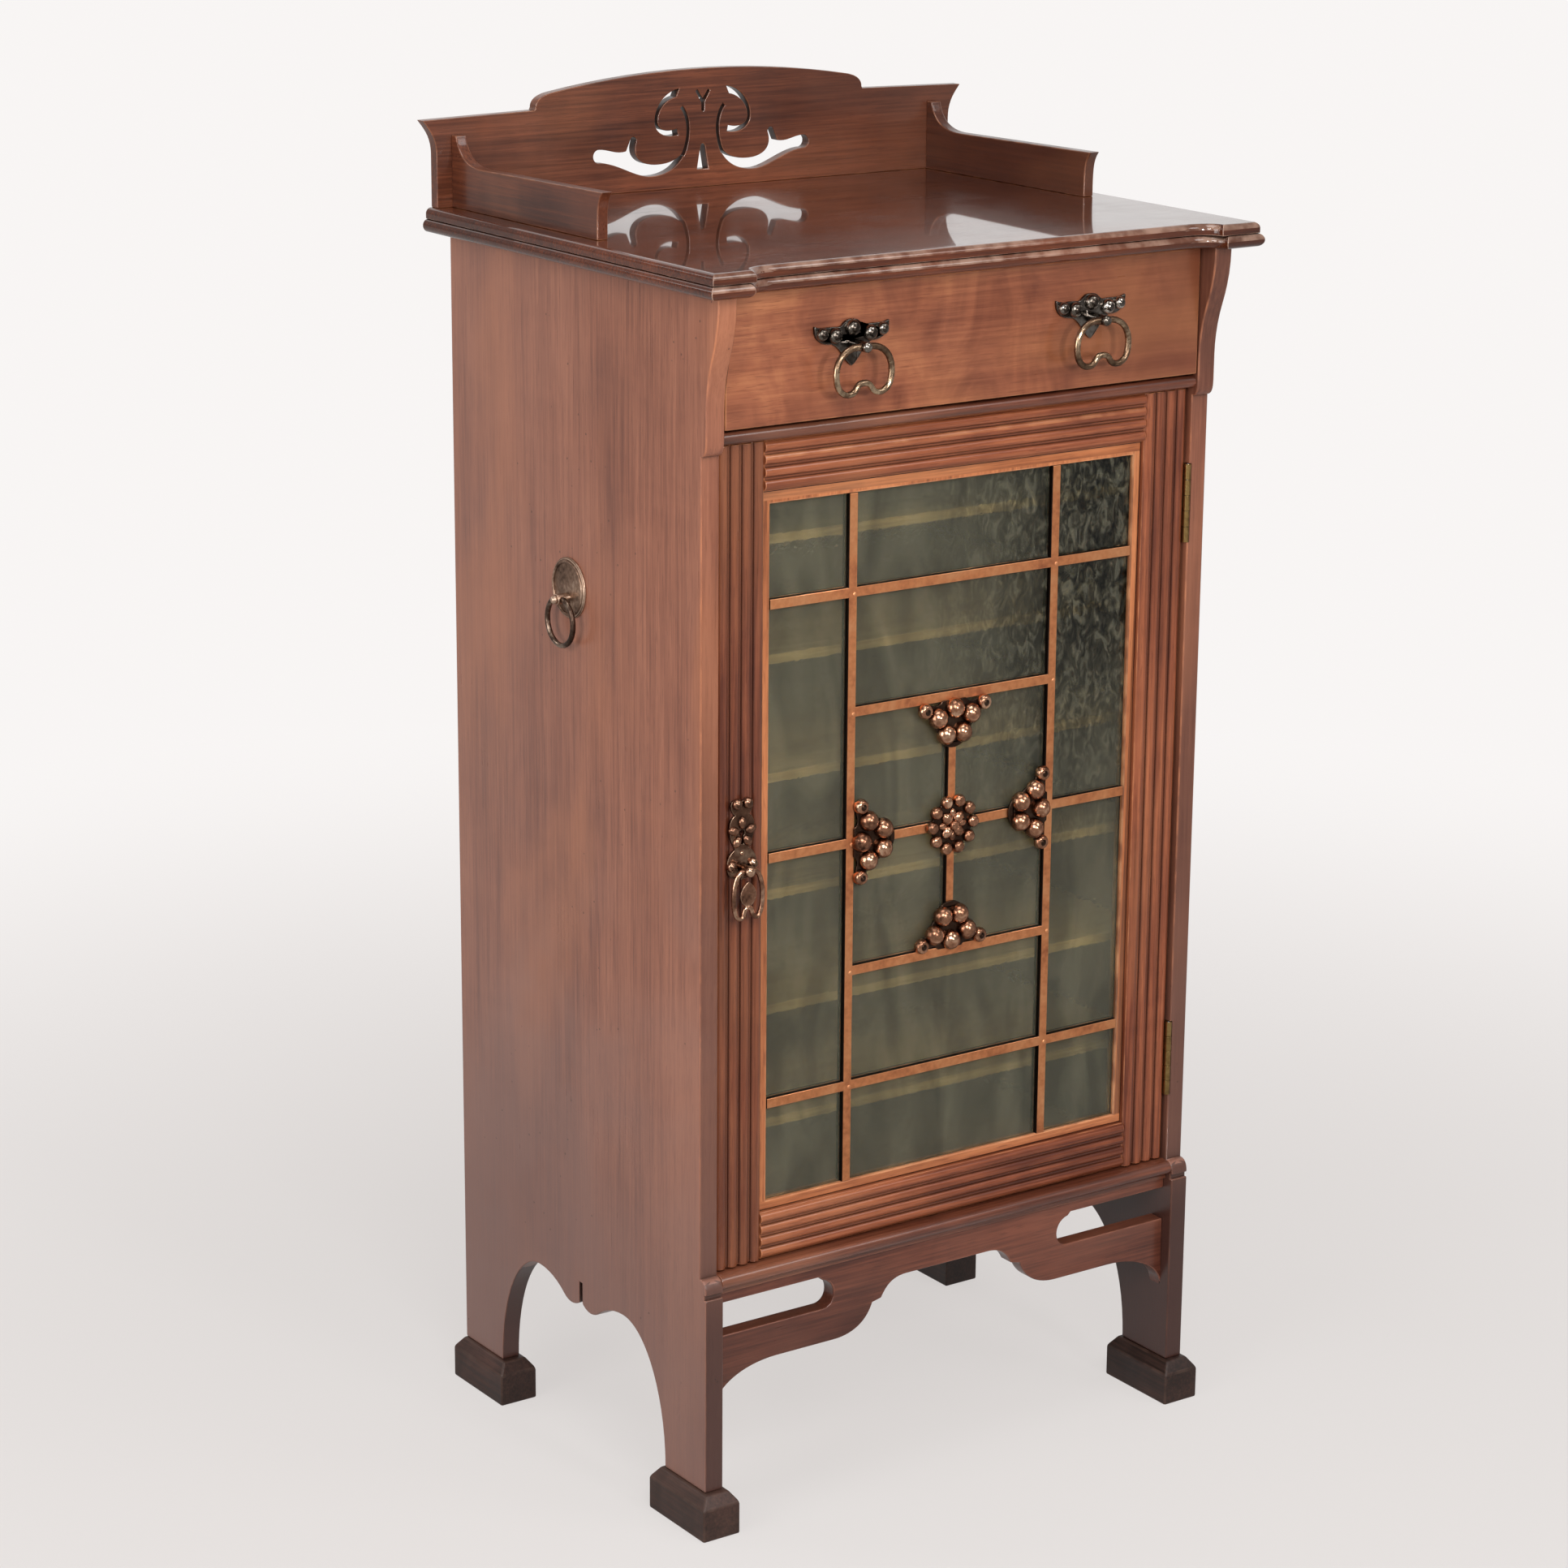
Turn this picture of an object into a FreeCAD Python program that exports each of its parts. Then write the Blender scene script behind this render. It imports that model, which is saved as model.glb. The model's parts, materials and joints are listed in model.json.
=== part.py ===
import FreeCAD, Part
import os

Vector = FreeCAD.Vector

# Depths are measured forward from the back edge of the side panels, in mm.

# Case
case_width = 500.0
side_thickness = 17.0
panel_depth = 374.0
leg_step = 9.0
bracket_step = 23.5
nose_step = 7.0
top_underside = 1015.0
ogee_height = 88.0
ogee_drop = 3.0
nose_drop = 7.0
nose_rise = 13.0
shoulder_height = 209.0
shoulder_rise = 12.0
quirk_height = 4.0
quirk_depth = 2.5
housing_depth = 5.0

# Leg arch cut in each side panel
arch_offset = 1.0
arch_span = 260.0
arch_apex_spread = 132.0
arch_apex_height = 149.0
lobe_radius = 20.0
lobe_spread = 30.0
lobe_height = 132.0
cleft_width = 4.4
cleft_height = 155.0

# Feet
foot_height = 37.5
foot_block_height = 28.0
foot_width = 35.5
foot_length = 82.0
foot_front_overhang = 11.7
foot_rear_overhang = 6.5
foot_bevel = 7.0

# Top board: a half-round bead under an ovolo
bead_overhang = 18.5
ovolo_overhang = 15.5
bead_radius = 5.5
ovolo_height = 9.0
ovolo_radius = 5.0
top_rear_overhang = 12.0
corner_overhang = 19.0
break_depth = 16.0
break_inset = 21.0
break_run = 26.0

# Gallery round the top
gallery_thickness = 10.0
gallery_overhang = 10.0
ear_root_rise = 43.0
ear_spread = 12.5
ear_rise = 71.8
arch_step_half = 165.5
arch_step_lean = 1.0
arch_step_rise = 2.0
gallery_shoulder_rise = 74.0
gallery_arch_half = 150.0
gallery_arch_rise = 87.6
gallery_apex_rise = 100.0
side_gallery_inset = 4.0
side_gallery_length = 229.0
side_gallery_rise = 35.5
side_gallery_peak = 59.0
side_gallery_flat = 7.0
side_gallery_sweep = 40.0
side_gallery_tip = 38.0
side_gallery_hollow = 7.5

# Pierced plant in the back gallery, drawn on a grid of hundredths of its size
plant_size = 100.0
plant_rise = 12.0

# Inside of the case
back_inset = 2.0
back_thickness = 8.0
board_thickness = 18.0
bead_rail_inset = 1.0
bead_rail_width = 42.0
bead_rail_radius = 6.0
bead_rail_fillet = 5.0
bead_rail_quirk = 1.5
drawer_bay = 118.0
dust_board_thickness = 10.0
drawer_rail_inset = 2.0
drawer_rail_width = 24.0
shelf_count = 6
shelf_thickness = 8.0
shelf_setback = 5.0
first_shelf_rise = 99.0
shelf_pitch = 97.0
stop_size = 10.0
stop_gap = 1.0

# Apron
apron_setback = 11.0
apron_thickness = 15.0
apron_flat_half = 42.0
apron_flat_drop = 26.0
apron_step_half = 77.0
apron_step_drop = 44.0
apron_step_width = 9.0
apron_step_rise = 2.0
apron_arm_half = 116.0
apron_arm_drop = 68.0
apron_heel_run = 60.0
apron_heel_drop = 100.0
slot_end = 116.5
slot_drop = 9.4
slot_height = 28.6
slot_bulge = 4.0
cusp_reach = 14.5
cusp_size = 3.0

# Drawer
drawer_side_gap = 1.0
drawer_setback = 1.0
drawer_front_thickness = 18.0
drawer_low_gap = 2.0
drawer_top_gap = 2.5
drawer_rear = 30.0
drawer_board = 10.0
drawer_side_drop = 13.0
drawer_back_drop = 20.0
drawer_bottom_rise = 7.0
drawer_bottom_thickness = 6.0
drawer_groove = 4.0
running_gap = 0.5
drawer_stop_height = 5.5
drawer_stop_length = 7.5
drawer_stop_width = 30.0
drawer_stop_x = 120.0

# Door
door_gap = 1.5
door_setback = 3.0
door_thickness = 20.0
stile_width = 43.5
rail_width = 40.0
reed_count = 4
reed_height = 3.0
reed_quirk = 1.6

# Leaded glazing
frame_strip = 8.0
frame_head = 11.0
frame_setback = 6.0
frame_thickness = 12.0
came_flange = 4.5
glass_thickness = 3.0
glass_bite = 3.0
came_width = 8.4
cross_width = 8.0
came_heart = 3.0
came_back = 2.5
came_x = 100.7
came_outer_rise = 205.7
came_inner_rise = 108.0

# Berry ornaments on the cames, the cluster drawn on a grid of hundredths of its size
cluster_size = 100.0
ornament_thickness = 2.0
berry_radius = 7.8
curl_radius = 5.2
rosette_radius = 20.5
rosette_berry_radius = 6.0
rosette_count = 10
rosette_boss_radius = 9.0
rosette_rim = 2.0

# Butt hinges
hinge_upper_inset = 62.5
hinge_lower_inset = 58.5
hinge_length = 66.0
knuckle_count = 5
knuckle_gap = 0.4
barrel_radius = 2.75
barrel_clear = 0.45
barrel_setback = 1.5
pin_radius = 1.2
pin_clear = 0.05
leaf_thickness = 1.2
leaf_width = 19.5
screw_count = 3
screw_head_radius = 2.6
screw_shank_radius = 1.3
screw_length = 9.0
screw_setback = 12.5

# Lock
lock_rise = 28.0
lock_case_length = 30.0
lock_case_depth = 10.0
lock_case_height = 42.0
lock_wall = 1.5
bolt_length = 18.0
bolt_height = 10.0
bolt_clear = 0.35
bolt_throw = 8.0
keyhole_radius = 2.6
keyhole_slot = 2.6
keyhole_drop = 9.0
plate_bed = 1.2
plate_thickness = 2.6
escutcheon_size = 100.0
escutcheon_berries = ((5.0, 24.0, 4.4), (10.0, -26.0, 4.2))

# Door pull
pull_drop = 29.0
pull_reach = 10.0
pull_wire = 2.0
pull_width = 27.0
pull_height = 38.0
pull_leaf_swell = 10.0
eye_wall = 1.8

# Drawer handles
handle_x = 117.0
handle_rise = 57.0
handle_plate = 3.0
handle_reach = 19.0
bail_wire = 2.6
bail_width = 52.0
bail_height = 36.0
post_radius = 4.2
pin_margin = 1.4
handle_size = 100.0
handle_berries = ((0.0, 12.5, 6.2), (16.5, 7.5, 6.0), (28.5, 9.5, 5.0))

# Ring handles on the sides
ring_offset = 3.0
ring_plate_height = 752.0
ring_plate_radius = 25.0
ring_drop = 8.0
ring_plate_thickness = 2.5
ring_reach = 9.5
ring_radius = 19.5
ring_wire = 2.2
ring_boss_radius = 4.4

# Reach of a curve's poles that makes a quarter round, and the share of a heart's height down to its notch
quarter = 0.5523
notch = 0.78

# Sizes that follow from the ones above: depths of the case
half = case_width / 2
inner = half - side_thickness
leg_depth = panel_depth + leg_step
nose_depth = panel_depth + nose_step
bracket_depth = panel_depth + bracket_step
corner_bead_depth = bracket_depth + corner_overhang
depth_total = corner_bead_depth + top_rear_overhang
back_y = depth_total / 2 - top_rear_overhang
back_front = back_inset + back_thickness
arch_centre = leg_depth / 2 + arch_offset
ring_depth = panel_depth / 2 - ring_offset
bead_rail_depth = leg_depth - bead_rail_inset
rail_split = bead_rail_depth - bead_rail_width
apron_depth = leg_depth - apron_setback
shelf_depth = rail_split - shelf_setback
drawer_rail_depth = nose_depth - drawer_rail_inset
dust_board_depth = drawer_rail_depth - drawer_rail_width
drawer_depth = nose_depth - drawer_setback

# Heights of the case
bead_height = 2 * bead_radius
top_height = top_underside + bead_height + ovolo_height
dust_board_height = top_underside - drawer_bay
dust_top = dust_board_height + dust_board_thickness
nose_height = dust_board_height - nose_drop
board_top = shoulder_height + shoulder_rise
board_low = board_top - board_thickness
bead_low = board_top - 2 * bead_rail_radius
rail_bottom = bead_low - bead_rail_fillet
first_shelf_height = board_top + first_shelf_rise

# Top, gallery and apron
break_outer = half - break_inset
break_inner = break_outer - break_run
gallery_half_base = half + gallery_overhang
side_gallery_half = half - side_gallery_inset
gallery_depth = gallery_thickness - top_rear_overhang
plant_base = top_height + plant_rise
apron_heel_half = inner - apron_heel_run
apron_flat_height = rail_bottom - apron_flat_drop
apron_step_height = rail_bottom - apron_step_drop
apron_arm_height = rail_bottom - apron_arm_drop
apron_heel_height = rail_bottom - apron_heel_drop
slot_high = rail_bottom - slot_drop
slot_low = slot_high - slot_height

# Drawer and its handles
drawer_half = inner - drawer_side_gap
drawer_low = dust_top + drawer_low_gap
drawer_high = top_underside - drawer_top_gap
drawer_side_high = top_underside - drawer_side_drop
drawer_back_high = top_underside - drawer_back_drop
drawer_bottom_height = dust_top + drawer_bottom_rise
handle_height = drawer_low + handle_rise
handle_axis_depth = drawer_depth + handle_reach

# Door and glazing
door_half = inner - door_gap
door_low = board_top + door_gap
door_high = dust_board_height - door_gap
door_depth = panel_depth - door_setback
door_back = door_depth - door_thickness
stile_inner = door_half - stile_width
stile_centre = (door_half + stile_inner) / 2
rail_low = door_low + rail_width
rail_high = door_high - rail_width
sight_half = stile_inner - frame_strip
sight_low = rail_low + frame_strip
sight_high = rail_high - frame_head
frame_depth = door_depth - frame_setback
frame_back_depth = frame_depth - frame_thickness
glass_depth = frame_depth - came_flange
glass_back = glass_depth - glass_thickness
came_z = (rail_low + rail_high) / 2

# Hinges, lock, pull and side rings
hinge_x = inner - door_gap / 2
hinge_heights = (door_high - hinge_upper_inset - hinge_length, door_low + hinge_lower_inset)
barrel_depth = panel_depth - barrel_setback
leaf_back_depth = barrel_depth - leaf_width
screw_depth = barrel_depth - screw_setback
lock_height = (door_low + door_high) / 2 + lock_rise
plate_depth = door_depth - plate_bed
bolt_rest = door_half - bolt_clear
pull_axis_height = lock_height - pull_drop
ring_axis_height = ring_plate_height - ring_drop
pull_axis_depth = door_depth + pull_reach


def at(x, depth, z):
    """Point from its depth in front of the panels' back edge."""
    return Vector(x, back_y - depth, z)


def front_view(depth):
    """Places (x, z) outlines at one depth."""
    return lambda x, z: at(x, depth, z)


def side_view(x):
    """Places (depth, z) outlines at one x."""
    return lambda depth, z: at(x, depth, z)


def plan_view(z):
    """Places (x, depth) outlines at one height."""
    return lambda x, depth: at(x, depth, z)


def box(x0, x1, depth0, depth1, z0, z1):
    """Block between two x, two depths and two heights."""
    corner = at(min(x0, x1), depth1, z0)
    return Part.makeBox(abs(x1 - x0), depth1 - depth0, z1 - z0, corner)


def wire(start, steps, place):
    """Closed wire: a step is a point, ("arc", mid, end) or ("bezier", poles..., end)."""
    edges = []
    here = place(*start)
    for step in list(steps) + [start]:
        curved = isinstance(step[0], str)
        points = [place(*p) for p in (step[1:] if curved else (step,))]
        if points[-1].distanceToPoint(here) < 1e-6:
            continue
        if not curved:
            edges.append(Part.makeLine(here, points[0]))
        elif step[0] == "arc":
            edges.append(Part.Arc(here, points[0], points[1]).toShape())
        else:
            curve = Part.BezierCurve()
            curve.setPoles([here] + points)
            edges.append(curve.toShape())
        here = points[-1]
    return Part.Wire(edges)


def walked_back(start, steps, axis=0.0):
    """The same steps walked backwards on the other side of the line u = axis."""
    def flip(p):
        return (2 * axis - p[0], p[1])

    ends = [start]
    for step in steps:
        ends.append(step[-1] if isinstance(step[0], str) else step)
    back = [flip(ends[-1])]
    for step, origin in zip(reversed(steps), reversed(ends[:-1])):
        if isinstance(step[0], str):
            middle = [flip(p) for p in reversed(step[1:-1])]
            back.append((step[0], *middle, flip(origin)))
        else:
            back.append(flip(origin))
    return back


def forward(outline, length):
    """Front-view outline given thickness towards the front."""
    return Part.Face(outline).extrude(Vector(0, -length, 0))


def sideways(outline, length):
    """Side-view outline given thickness towards +X."""
    return Part.Face(outline).extrude(Vector(length, 0, 0))


def upward(outline, length):
    """Plan outline given height."""
    return Part.Face(outline).extrude(Vector(0, 0, length))


def mirror_x(shape):
    """Twin of a shape on the other side of the middle plane."""
    return shape.mirror(Vector(0, 0, 0), Vector(1, 0, 0))


def joined(shapes):
    """One solid from touching or crossing solids."""
    return shapes[0].multiFuse(shapes[1:]).removeSplitter()


def bar_x(x0, x1, depth, z, radius):
    """Round bar along X."""
    return Part.makeCylinder(radius, x1 - x0, at(x0, depth, z), Vector(1, 0, 0))


def stud(x, depth, z, radius, length):
    """Round bar pointing forward."""
    return Part.makeCylinder(radius, length, at(x, depth, z), Vector(0, -1, 0))


def berry(x, depth, z, radius):
    """Front half of a ball standing on a plate."""
    return Part.makeSphere(radius, at(x, depth, z), Vector(0, -1, 0), 0, 90, 360)


def leg_arch():
    """Tool for the arch between the legs, with twin lobes round a cleft."""
    spread = arch_apex_spread / 2
    lobe = lobe_spread / 2
    run = spread - lobe
    fall = arch_apex_height - lobe_height - lobe_radius
    sweep = (run ** 2 + fall ** 2 - lobe_radius ** 2) / (2 * (fall + lobe_radius))
    share = sweep / (sweep + lobe_radius)
    lobe_centre = lobe_height + lobe_radius
    apex_centre = arch_apex_height - sweep
    meet = (spread - run * share, apex_centre + (lobe_centre - apex_centre) * share)
    bulge = (spread + meet[0]) / 2
    bulge_z = apex_centre + (sweep ** 2 - (spread - bulge) ** 2) ** 0.5
    slit = cleft_width / 2
    slit_z = lobe_centre - (lobe_radius ** 2 - (lobe - slit) ** 2) ** 0.5
    reach = arch_span / 2 - spread
    rise = arch_apex_height - foot_height
    start = (arch_span / 2, 0.0)
    steps = [
        (arch_span / 2, foot_height),
        ("bezier", (arch_span / 2, foot_height + quarter * rise),
         (spread + quarter * reach, arch_apex_height), (spread, arch_apex_height)),
        ("arc", (bulge, bulge_z), meet),
        ("arc", (lobe, lobe_height), (slit, slit_z)),
        (slit, cleft_height),
    ]
    outline = wire(start, steps + walked_back(start, steps),
                   lambda u, z: at(-half - 1, arch_centre + u, z))
    return sideways(outline, side_thickness + 2)


def panel_board():
    """Left side panel before its joints are cut: bracket above, shoulder and legs below."""
    ogee_top = top_underside - ogee_drop
    ogee_low = ogee_top - ogee_height
    ogee_mid = (ogee_top + ogee_low) / 2
    ogee_depth = (bracket_depth + nose_depth) / 2
    quirk_top = shoulder_height
    quirk_low = shoulder_height - quirk_height
    steps = [
        (0.0, top_underside),
        (bracket_depth, top_underside),
        (bracket_depth, ogee_top),
        ("bezier", (bracket_depth, (ogee_top + ogee_mid) / 2), (ogee_depth, ogee_mid)),
        ("bezier", (nose_depth, (ogee_low + ogee_mid) / 2), (nose_depth, ogee_low)),
        (nose_depth, nose_height + nose_rise),
        ("bezier", (nose_depth, nose_height), (panel_depth, nose_height)),
        (panel_depth, board_top),
        ("bezier", (leg_depth, board_top), (leg_depth, quirk_top)),
        (leg_depth - quirk_depth, quirk_top),
        (leg_depth - quirk_depth, quirk_low),
        (leg_depth, quirk_low),
        (leg_depth, foot_height),
        (0.0, foot_height),
    ]
    outline = wire((0.0, foot_height), steps, side_view(-half))
    return sideways(outline, side_thickness).cut(leg_arch())


def housed_boards():
    """Boards let into both sides, by node name."""
    reach = inner + housing_depth
    boards = {
        "bottom_board": box(-reach, reach, back_front, rail_split, board_low, board_top),
        "dust_board": box(-reach, reach, back_front, dust_board_depth, dust_board_height, dust_top),
    }
    for i in range(shelf_count):
        z = first_shelf_height + i * shelf_pitch
        boards[f"shelf_{i + 1}"] = box(-reach, reach, back_front, shelf_depth, z, z + shelf_thickness)
    return boards


def side_panels(boards, hinges):
    """Both side panels with housings, the bolt's mortise and the hinge seats."""
    left = panel_board()
    right = mirror_x(left)
    housings = list(boards.values())
    mortise = box(-inner - bolt_throw - 1, -inner + 1, *bolt_slot(), *bolt_band())
    left = left.cut(housings + [mortise])
    right = right.cut(housings + hinges)
    return left, right


def foot(front):
    """Left foot: a block with a sloping top."""
    x0 = -half + side_thickness / 2 - foot_width / 2
    x1 = x0 + foot_width
    depth1 = leg_depth + foot_front_overhang if front else foot_length - foot_rear_overhang
    depth0 = depth1 - foot_length
    block = box(x0, x1, depth0, depth1, 0.0, foot_block_height)
    rings = []
    for inset, z in ((0.0, foot_block_height), (foot_bevel, foot_height)):
        a, b, c, d = x0 + inset, x1 - inset, depth0 + inset, depth1 - inset
        rings.append(Part.makePolygon([at(a, c, z), at(b, c, z), at(b, d, z), at(a, d, z), at(a, c, z)]))
    return joined([block, Part.makeLoft(rings, True, True)])


def top_plan(overhang, z):
    """Plan of the top: corner blocks standing forward of the middle."""
    drop = bead_overhang - overhang
    corner = corner_bead_depth - drop
    middle = corner - break_depth
    start = (0.0, middle)
    bend = break_outer - drop
    steps = [
        (break_inner - drop, middle),
        ("bezier", (bend, middle), (bend, corner)),
        (half + overhang, corner),
        (half + overhang, -top_rear_overhang),
    ]
    return wire(start, steps + walked_back(start, steps), plan_view(z))


def moulded_edges(shape, heights):
    """Edges of a slab at the given heights, leaving out the back."""
    chosen = []
    for edge in shape.Edges:
        box_ = edge.BoundBox
        level = any(abs(box_.ZMin - z) < 1e-6 and abs(box_.ZMax - z) < 1e-6 for z in heights)
        if level and box_.YMin < back_y + top_rear_overhang - 1e-6:
            chosen.append(edge)
    return chosen


def top_board():
    """Top: half-round bead below, ovolo above."""
    bead_top = top_underside + bead_height
    lower = upward(top_plan(bead_overhang, top_underside), bead_height)
    lower = lower.makeFillet(bead_radius - 0.01, moulded_edges(lower, (top_underside, bead_top)))
    upper = upward(top_plan(ovolo_overhang, bead_top), ovolo_height)
    upper = upper.makeFillet(ovolo_radius, moulded_edges(upper, (top_height,)))
    return joined([lower, upper])


def grid(path, size):
    """Outline drawn on a grid of hundredths, brought to its real size."""
    unit = size / 100
    scaled = []
    for step in path:
        if isinstance(step[0], str):
            scaled.append((step[0], *[(u * unit, v * unit) for u, v in step[1:]]))
        else:
            scaled.append((step[0] * unit, step[1] * unit))
    return scaled


def plant_outlines():
    """Right half of the pierced plant: leaf, tail, scroll and tulip arm, then the middle drop."""
    leaf = [
        (19.0, 16.5),
        ("bezier", (26.0, 5.0), (38.0, 0.0), (52.0, 0.0)),
        ("bezier", (68.0, 0.0), (84.0, 13.0), (103.0, 14.5)),
        ("arc", (109.5, 20.0), (103.0, 25.5)),
        ("bezier", (94.0, 25.5), (88.0, 20.5), (77.0, 22.5)),
        (72.5, 32.5),
        ("arc", (68.5, 34.0), (67.0, 30.5)),
        ("bezier", (72.0, 17.0), (62.0, 10.0), (48.0, 9.5)),
        ("bezier", (36.0, 9.0), (27.0, 11.5), (21.0, 17.5)),
    ]
    tail = [
        (20.5, 57.5),
        ("bezier", (12.0, 49.0), (11.0, 31.0), (18.8, 15.5)),
        (21.5, 16.5),
        ("bezier", (14.0, 31.0), (14.8, 47.0), (22.5, 55.5)),
    ]
    scroll = [
        (24.0, 72.0),
        ("bezier", (36.0, 70.5), (48.5, 60.0), (48.5, 46.0)),
        ("bezier", (48.5, 36.0), (37.0, 30.5), (25.0, 33.5)),
        (26.0, 38.5),
        ("bezier", (36.0, 35.5), (45.8, 38.0), (45.8, 46.0)),
        ("bezier", (45.8, 55.0), (38.0, 63.5), (27.0, 65.5)),
    ]
    tulip = [(0.0, 52.0), (1.2, 52.0), (1.5, 59.5), (7.2, 69.0), (5.6, 70.5), (0.0, 62.5)]
    drop = [(0.0, 3.0), (5.6, 3.0), (2.3, 22.0), ("bezier", (1.6, 24.5), (0.0, 24.5)), (0.0, 3.0)]
    return [leaf, tail, scroll, tulip, drop]


def plant_cuts():
    """Tools that pierce both halves of the plant."""
    depth = -top_rear_overhang - 1
    tools = []
    for drawn in plant_outlines():
        path = grid(drawn, plant_size)
        outline = wire(path[0], path[1:], lambda x, z: at(x, depth, z + plant_base))
        tool = forward(outline, gallery_thickness + 2)
        tools += [tool, mirror_x(tool)]
    return tools


def gallery_back():
    """Pierced back board with ears and a low arch."""
    ear_root = top_height + ear_root_rise
    ear_tip = top_height + ear_rise
    ear_height = ear_tip - ear_root
    shoulder = top_height + gallery_shoulder_rise
    step_top = shoulder + arch_step_rise
    arch_end = top_height + gallery_arch_rise
    corner_run = arch_step_half - gallery_arch_half
    corner_rise = arch_end - step_top
    start = (gallery_half_base, top_height)
    steps = [
        (gallery_half_base, ear_root),
        ("bezier", (gallery_half_base, ear_root + 0.5 * ear_height),
         (gallery_half_base + 0.48 * ear_spread, ear_tip - 0.28 * ear_height),
         (gallery_half_base + ear_spread, ear_tip)),
        (arch_step_half + arch_step_lean, shoulder),
        (arch_step_half, step_top),
        ("bezier", (arch_step_half, arch_end - 0.43 * corner_rise),
         (gallery_arch_half + quarter * corner_run, arch_end - 0.13 * corner_rise),
         (gallery_arch_half, arch_end)),
    ]
    crown = [("arc", (0.0, top_height + gallery_apex_rise), (-gallery_arch_half, arch_end))]
    place = front_view(-top_rear_overhang)
    outline = wire(start, steps + crown + walked_back(start, steps), place)
    return forward(outline, gallery_thickness).cut(plant_cuts())


def gallery_side():
    """Left side gallery: swept down from the back, hollowed at the front end."""
    peak = gallery_depth + side_gallery_flat
    low = peak + side_gallery_sweep
    nose = side_gallery_length - side_gallery_hollow
    peak_z = top_height + side_gallery_peak
    low_z = top_height + side_gallery_rise
    tip_z = top_height + side_gallery_tip
    fall = peak_z - low_z
    steps = [
        (gallery_depth, peak_z),
        (peak, peak_z),
        ("bezier", (peak + 0.1 * side_gallery_sweep, low_z + 0.3 * fall),
         (peak + 0.45 * side_gallery_sweep, low_z), (low, low_z)),
        (side_gallery_length, tip_z),
        ("bezier", (nose, tip_z - side_gallery_hollow), (nose, tip_z - 2 * side_gallery_hollow),
         (nose, top_height)),
    ]
    start = (gallery_depth, top_height)
    return sideways(wire(start, steps, side_view(-side_gallery_half)), gallery_thickness)


def bead_rail():
    """Moulded rail under the door: a bead over a small fillet."""
    round_centre = bead_rail_depth - bead_rail_radius
    steps = [
        (round_centre - bead_rail_quirk, rail_bottom),
        (round_centre - bead_rail_quirk, bead_low),
        (round_centre, bead_low),
        ("arc", (bead_rail_depth, bead_low + bead_rail_radius), (round_centre, board_top)),
        (rail_split, board_top),
    ]
    return sideways(wire((rail_split, rail_bottom), steps, side_view(-inner)), 2 * inner)


def apron_edge():
    """Right half of the apron's lower edge, from the leg to the middle."""
    heel_run = inner - apron_heel_half
    heel_rise = apron_arm_height - apron_heel_height
    arm_run = apron_arm_half - apron_step_half
    arm_rise = apron_step_height - apron_arm_height
    step = (apron_step_half - apron_step_width, apron_step_height + apron_step_rise)
    flat_run = step[0] - apron_flat_half
    flat_rise = apron_flat_height - step[1]
    return [
        (inner, apron_heel_height),
        ("bezier", (inner, apron_heel_height + quarter * heel_rise),
         (apron_heel_half + quarter * heel_run, apron_arm_height), (apron_heel_half, apron_arm_height)),
        (apron_arm_half, apron_arm_height),
        ("bezier", (apron_arm_half - quarter * arm_run, apron_arm_height),
         (apron_step_half + 0.13 * arm_run, apron_arm_height + 0.42 * arm_rise),
         (apron_step_half, apron_step_height)),
        step,
        ("bezier", (step[0] - 0.2 * flat_run, step[1] + 0.62 * flat_rise),
         (apron_flat_half + quarter * flat_run, apron_flat_height), (apron_flat_half, apron_flat_height)),
    ]


def front_apron():
    """Shaped apron with a slot beside each leg."""
    start = (inner, rail_bottom)
    steps = apron_edge()
    back = apron_depth - apron_thickness
    board = forward(wire(start, steps + walked_back(start, steps), front_view(back)), apron_thickness)
    cusp = slot_end + cusp_reach
    slot = [
        (inner + 1, slot_high),
        (cusp, slot_high),
        (cusp - cusp_size, slot_high - cusp_size),
        ("bezier", (slot_end - slot_bulge, slot_high - 2 * cusp_size), (slot_end - slot_bulge, slot_low),
         (cusp - cusp_size, slot_low)),
    ]
    tool = forward(wire((inner + 1, slot_low), slot, front_view(back - 1)), apron_thickness + 2)
    return board.cut([tool, mirror_x(tool)])


def drawer_rail():
    """Rounded rail under the drawer, in front of the dust board."""
    radius = dust_board_thickness / 2
    centre = drawer_rail_depth - radius
    steps = [
        (centre, dust_board_height),
        ("arc", (drawer_rail_depth, dust_board_height + radius), (centre, dust_top)),
        (dust_board_depth, dust_top),
    ]
    return sideways(wire((dust_board_depth, dust_board_height), steps, side_view(-inner)), 2 * inner)


def drawer_stops():
    """Pair of blocks that the closed drawer front meets."""
    depth1 = drawer_depth - drawer_front_thickness - running_gap
    blocks = []
    for x in (-drawer_stop_x, drawer_stop_x):
        x0 = x - drawer_stop_width / 2
        blocks.append(box(x0, x0 + drawer_stop_width, depth1 - drawer_stop_length, depth1,
                          dust_top, dust_top + drawer_stop_height))
    return Part.makeCompound(blocks)


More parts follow.
